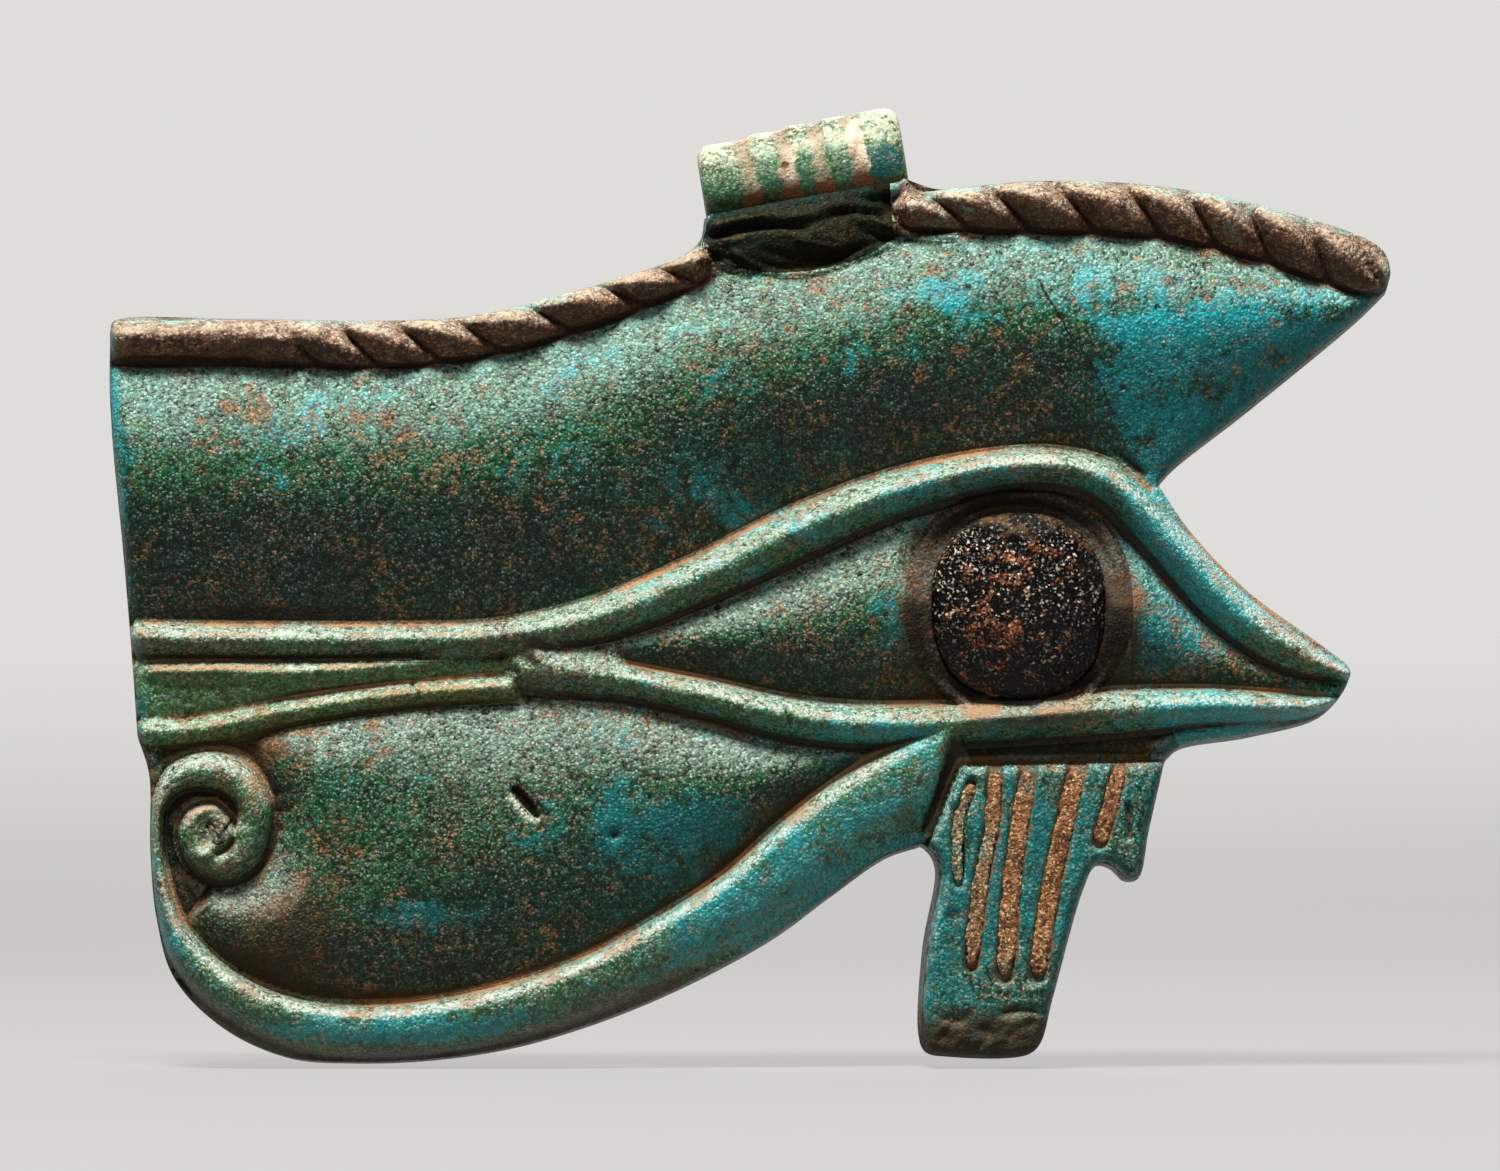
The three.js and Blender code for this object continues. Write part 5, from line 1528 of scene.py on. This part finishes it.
def tubeZones(points):
    # pale above, from wear and a painted highlight; green and teal in the middle; olive and dark below, a
    # painted shade; sandy stripes in the grooves, cream on the lit top and brown below, painted light and
    # shade on real stripes
    x, y, z = points.T
    tilt = tube["tilt"]
    along = (x * math.cos(tilt) + z * math.sin(tilt)) / tube["length"] + 0.5
    up = z * math.cos(tilt) - x * math.sin(tilt)
    front = smoothStep(0.6, -0.4, y)
    wander = 0.008 * waves(up * 2, y * 2, 1.6, 83) + 0.006 * waves(up, along * 9, 0.45, 85, 16)
    near = np.abs((along + wander + 0.004 * up)[:, None] - np.array(tube["grooves"])).min(axis=1)
    uneven = 0.4 * waves(along * 9, y, 1.5, 84) + 0.25 * waves(along * 9, up, 0.6, 86, 16)
    stripe = smoothStep(0.054, 0.028, near + 0.012 * uneven) * smoothStep(-1.75, -1.0, up + 0.6 * uneven)
    # olive and dark on the underside: painted shade
    tone = 0.36 + 0.24 * smoothStep(0.9, -0.1, up + uneven) - 0.75 * smoothStep(-0.6, -1.5, up)
    tone += 0.9 * np.exp(-((along - 0.89) / 0.07) ** 2 - ((up + 0.4) / 0.6) ** 2 + 0.5 * uneven)
    # pale on top: wear with a painted highlight
    wearAndHighlight = smoothStep(-0.1, 1.3, up + 0.6 * uneven) * 0.8 * (1 - 0.4 * front * smoothStep(0.9, 0.2, up))
    wearAndHighlight = np.maximum(wearAndHighlight, 0.4 * smoothStep(0.04, 0.0, np.minimum(along, 1 - along))) * (1 - 0.85 * stripe)
    # the stripes, and dark on the underside: painted shade
    dirt = stripe * 1.3 + 0.7 * smoothStep(-1.0, -1.7, up)
    # the last share is high on top, which the glaze treats as lit: painted light
    return tone, dirt, wearAndHighlight, smoothStep(-1.2, 0.0, up + 0.3 * uneven)


def makeTube():
    count, turns = int(tube["lengthwise"] / fineness), int(tube["around"] / fineness)
    shares = np.linspace(0, 1, tube["samples"])
    radius = tubeRadius(shares)
    fromEnd = np.minimum(shares, 1 - shares) * tube["length"]
    radius -= roundDrop(fromEnd, tube["endRound"])
    outer = np.column_stack([(shares - 0.5) * tube["length"], radius])
    boreRadius = tube["bore"] + tube["flare"] * np.exp(-fromEnd / tube["flare"])
    boreLine = np.column_stack([outer[::-1, 0], boreRadius])
    around = np.vstack([outer, boreLine, outer[:1]])
    profile = resampled(around, lengthsAlong(around)[-1] / count)
    bm, u, v = gridPiece(len(profile) - 1, turns)
    i = np.rint(u * (len(profile) - 1)).astype(int)
    turn = 2 * math.pi * np.rint(v * turns) / turns
    axial, radial = profile[i].T
    rough = 0.03 * np.minimum(waves(axial, np.sin(turn) * 2 + 3 * np.cos(turn), 2.5, 81), 1) - 0.03
    radial = radial + np.where(radial > tube["outside"], rough, 0)  # never proud of the ribs
    wander = 0.08 * waves(axial, np.cos(turn) * 2, 4, 82)
    axial = axial + wander * (np.abs(axial) < tube["wanders"])
    tilt, up = tube["tilt"], radial * np.sin(turn)
    x = axial * math.cos(tilt) - up * math.sin(tilt)
    z = axial * math.sin(tilt) + up * math.cos(tilt)
    moveAll(bm, np.column_stack([x, -radial * np.cos(turn), z]))
    bmesh.ops.remove_doubles(bm, verts=bm.verts[:], dist=weld)
    finishPiece("suspensionTube", bm, "suspension_tube", "pale_glaze", "tube", tubeZones)


makeTube()
print("tube made")

plate = {  # walls: levels from the front back, and how far each lies inside the outline
    "spacing": 0.24, "backRound": 0.6, "backDepth": 0.04,
    "under": 0.1, "underSaddle": 2.3, "beside": 0.2,  # where coils cover the front, which is flat there
    "walls": [(-0.9, 0.15), (-0.2, 0.09), (0.5, 0.04), (1.1, 0.012), (1.6, 0.012), (1.95, 0.03),
              (2.2, 0.1)],
}


def walkRim(bm):
    # the rim's vertices in order
    start = next(vertex for vertex in bm.verts if vertex.is_boundary)
    loop, previous, current = [start], None, start
    while True:
        others = [e.other_vert(current) for e in current.link_edges if e.is_boundary]
        following = others[0] if others[0] is not previous else others[1]
        if following is start:
            return loop
        loop.append(following)
        previous, current = current, following


def makePlate():
    bm = trimmedGrid(((-33.0, -42.2), (28.0, 0.5)), plate["spacing"], frontLimit)
    points = coordinates(bm)
    x, z = points[:, 0], points[:, 2]
    found = reliefAt(x, z)
    covered = np.minimum.reduce([found["edge"][name] for name in coilNames]) < -plate["under"]
    inner = found["depth"] > amulet["draft"] + plate["beside"]
    covered |= (found["edge"]["saddle"] < plate["underSaddle"]) & inner
    for region in found["isIn"].values():
        covered |= region
    ground = groundAt(x, z, found["depth"]) + 0.03 * waves(x, z, 3.0, 91)
    ground -= roundDrop(found["depth"] - amulet["draft"], amulet["roundOver"])
    front = np.where(covered, 0.0, np.maximum(ground, amulet["least"]))
    bm.verts.index_update()
    order = [vertex.index for vertex in walkRim(bm)]
    rim = points[order]
    sheet = bpy.data.meshes.new("sheet")  # front and back are the same grid, taken twice
    bm.to_mesh(sheet)
    bm.free()
    bm = bmesh.new()
    bm.from_mesh(sheet)
    bm.from_mesh(sheet)
    back = amulet["back"] - roundDrop(found["depth"], plate["backRound"])
    back -= plate["backDepth"] * (1 + np.clip(waves(x, z, 6.0, 92) + 0.4 * waves(x, z, 1.5, 93), -1, 2))
    both = np.vstack([np.column_stack([x, amulet["front"] - front, z]), np.column_stack([x, back, z])])
    moveAll(bm, both)
    away = -np.column_stack(slopesOf(frontLimit, rim[:, 0], rim[:, 2]))
    away = sum(np.roll(away, shift, axis=0) for shift in (-2, -1, 0, 1, 2))
    away /= np.maximum(np.hypot(*away.T), 1e-6)[:, None]
    rings = [both[order]]
    for level, inset in plate["walls"]:
        ring = rim.copy()
        ring[:, [0, 2]] += away * (amulet["draft"] - inset)
        ring[:, 1] = level + 0.03 * waves(ring[:, 0], ring[:, 2], 3.0, int(level * 10) + 200)
        rings.append(ring)
    rings.append(both[np.array(order) + len(points)])
    wall, u, v = gridPiece(len(order), len(rings) - 1)
    i = np.rint(u * len(order)).astype(int) % len(order)
    j = np.rint(v * (len(rings) - 1)).astype(int)
    moveAll(wall, np.array(rings)[j, i])
    wall.to_mesh(sheet)
    wall.free()
    bm.from_mesh(sheet)
    bpy.data.meshes.remove(sheet)
    bmesh.ops.remove_doubles(bm, verts=bm.verts[:], dist=1e-4)
    finishPiece("groundPlate", bm, "ground_plate", "body_glaze", "plate")


makePlate()
print("plate made")


# Stage, lamps and camera
paperTint = shade(222, 221, 218)
lamps = {  # place, aim, size and power
    "key": ((-0.055, -0.115, 0.24), (-0.003, 0, -0.02), (0.12, 0.06), 1.9),
    "fill": ((0.1, -0.32, 0.02), (0, 0, -0.02), (0.22, 0.22), 0.1),
    "backFill": ((0.06, 0.26, 0.16), (0, 0, -0.02), (0.25, 0.16), 0.5),
}


def hold(name, content, place, aim):
    # an object at a place in metres, turned towards its aim
    holder = bpy.data.objects.new(name, content)
    holder.location = place
    holder.rotation_euler = (Vector(aim) - Vector(place)).to_track_quat("-Z", "Y").to_euler()
    bpy.context.scene.collection.objects.link(holder)
    return holder


def paperFinish():
    # paper that is pale to the camera and keeps the shadow, and throws little light back
    r = Recipe("paper")
    r.feed(r.shader, {"Base Color": shade(132, 131, 129), "Roughness": 0.9})
    behind = r.add("ShaderNodeSeparateXYZ", {}, {"Vector": r.place}, "Z").between(-41, -14) * 0.32 + 0.68
    seen = r.sum("MAXIMUM", *(r.add("ShaderNodeLightPath", output=ray)
                              for ray in ("Is Camera Ray", "Is Glossy Ray")))
    plain = r.add("ShaderNodeEmission", {}, {"Color": paperTint})
    mixed = r.add("ShaderNodeMixShader", {}, {0: behind * seen, 1: Wire(r, r.shader.outputs[0]), 2: plain})
    r.feed(r.tree.nodes["Material Output"], {"Surface": mixed})
    return r.material


def makeWorld():
    # pale to the camera and in gloss, faint as light
    world = bpy.data.worlds.new("studio")
    bpy.context.scene.world = world
    world.use_nodes = True
    nodes = Nodes(world.node_tree)
    seen = nodes.add("ShaderNodeLightPath", output="Is Camera Ray")
    light = nodes.add("ShaderNodeBackground", {}, {"Color": (0.93, 0.96, 1.0, 1), "Strength": 0.07})
    plain = nodes.add("ShaderNodeBackground", {}, {"Color": paperTint})
    mixed = nodes.add("ShaderNodeMixShader", {}, {0: seen, 1: light, 2: plain})
    nodes.feed(world.node_tree.nodes["World Output"], {"Surface": mixed})


def makeStage():
    # one pale sheet: floor, bend and backdrop
    floor = {"level": -41.72, "front": -900, "bend": 260, "radius": 160, "top": 900, "half": 900}
    bm, u, v = gridPiece(2, 60)
    flat = floor["bend"] - floor["front"]
    arc = floor["radius"] * math.pi / 2
    run = v * (flat + arc + floor["top"])
    turn = np.clip((run - flat) / floor["radius"], 0, math.pi / 2)
    y = floor["front"] + np.minimum(run, flat) + floor["radius"] * np.sin(turn)
    z = floor["level"] + floor["radius"] * (1 - np.cos(turn)) + np.maximum(run - flat - arc, 0)
    moveAll(bm, np.column_stack([(2 * u - 1) * floor["half"], y, z]))
    makeObject("stage", bm, paperFinish())


makeStage()
camera = {"distance": 0.36, "elevation": -1.6, "sensor": 36, "middle": (750, 585.5), "photoWidth": 1500}
eye = bpy.data.cameras.new("camera")
eye.sensor_width = camera["sensor"]
eye.lens = camera["sensor"] * camera["distance"] / (camera["photoWidth"] * pixel["size"] * millimetre)
eye.clip_start = 0.01
tilt = math.radians(camera["elevation"])
aimX, aimZ = atPixel(*camera["middle"])
aim = Vector((aimX, amulet["front"], aimZ)) * millimetre
away = camera["distance"] * Vector((0, -math.cos(tilt), math.sin(tilt)))
bpy.context.scene.camera = hold("camera", eye, aim + away, aim)

for name, (place, aim, size, power) in lamps.items():
    lamp = bpy.data.lights.new(name, "AREA")
    lamp.shape = "RECTANGLE"
    lamp.size, lamp.size_y = size
    lamp.energy = power
    hold(name, lamp, place, aim)
makeWorld()
bpy.context.scene.view_settings.view_transform = "Standard"
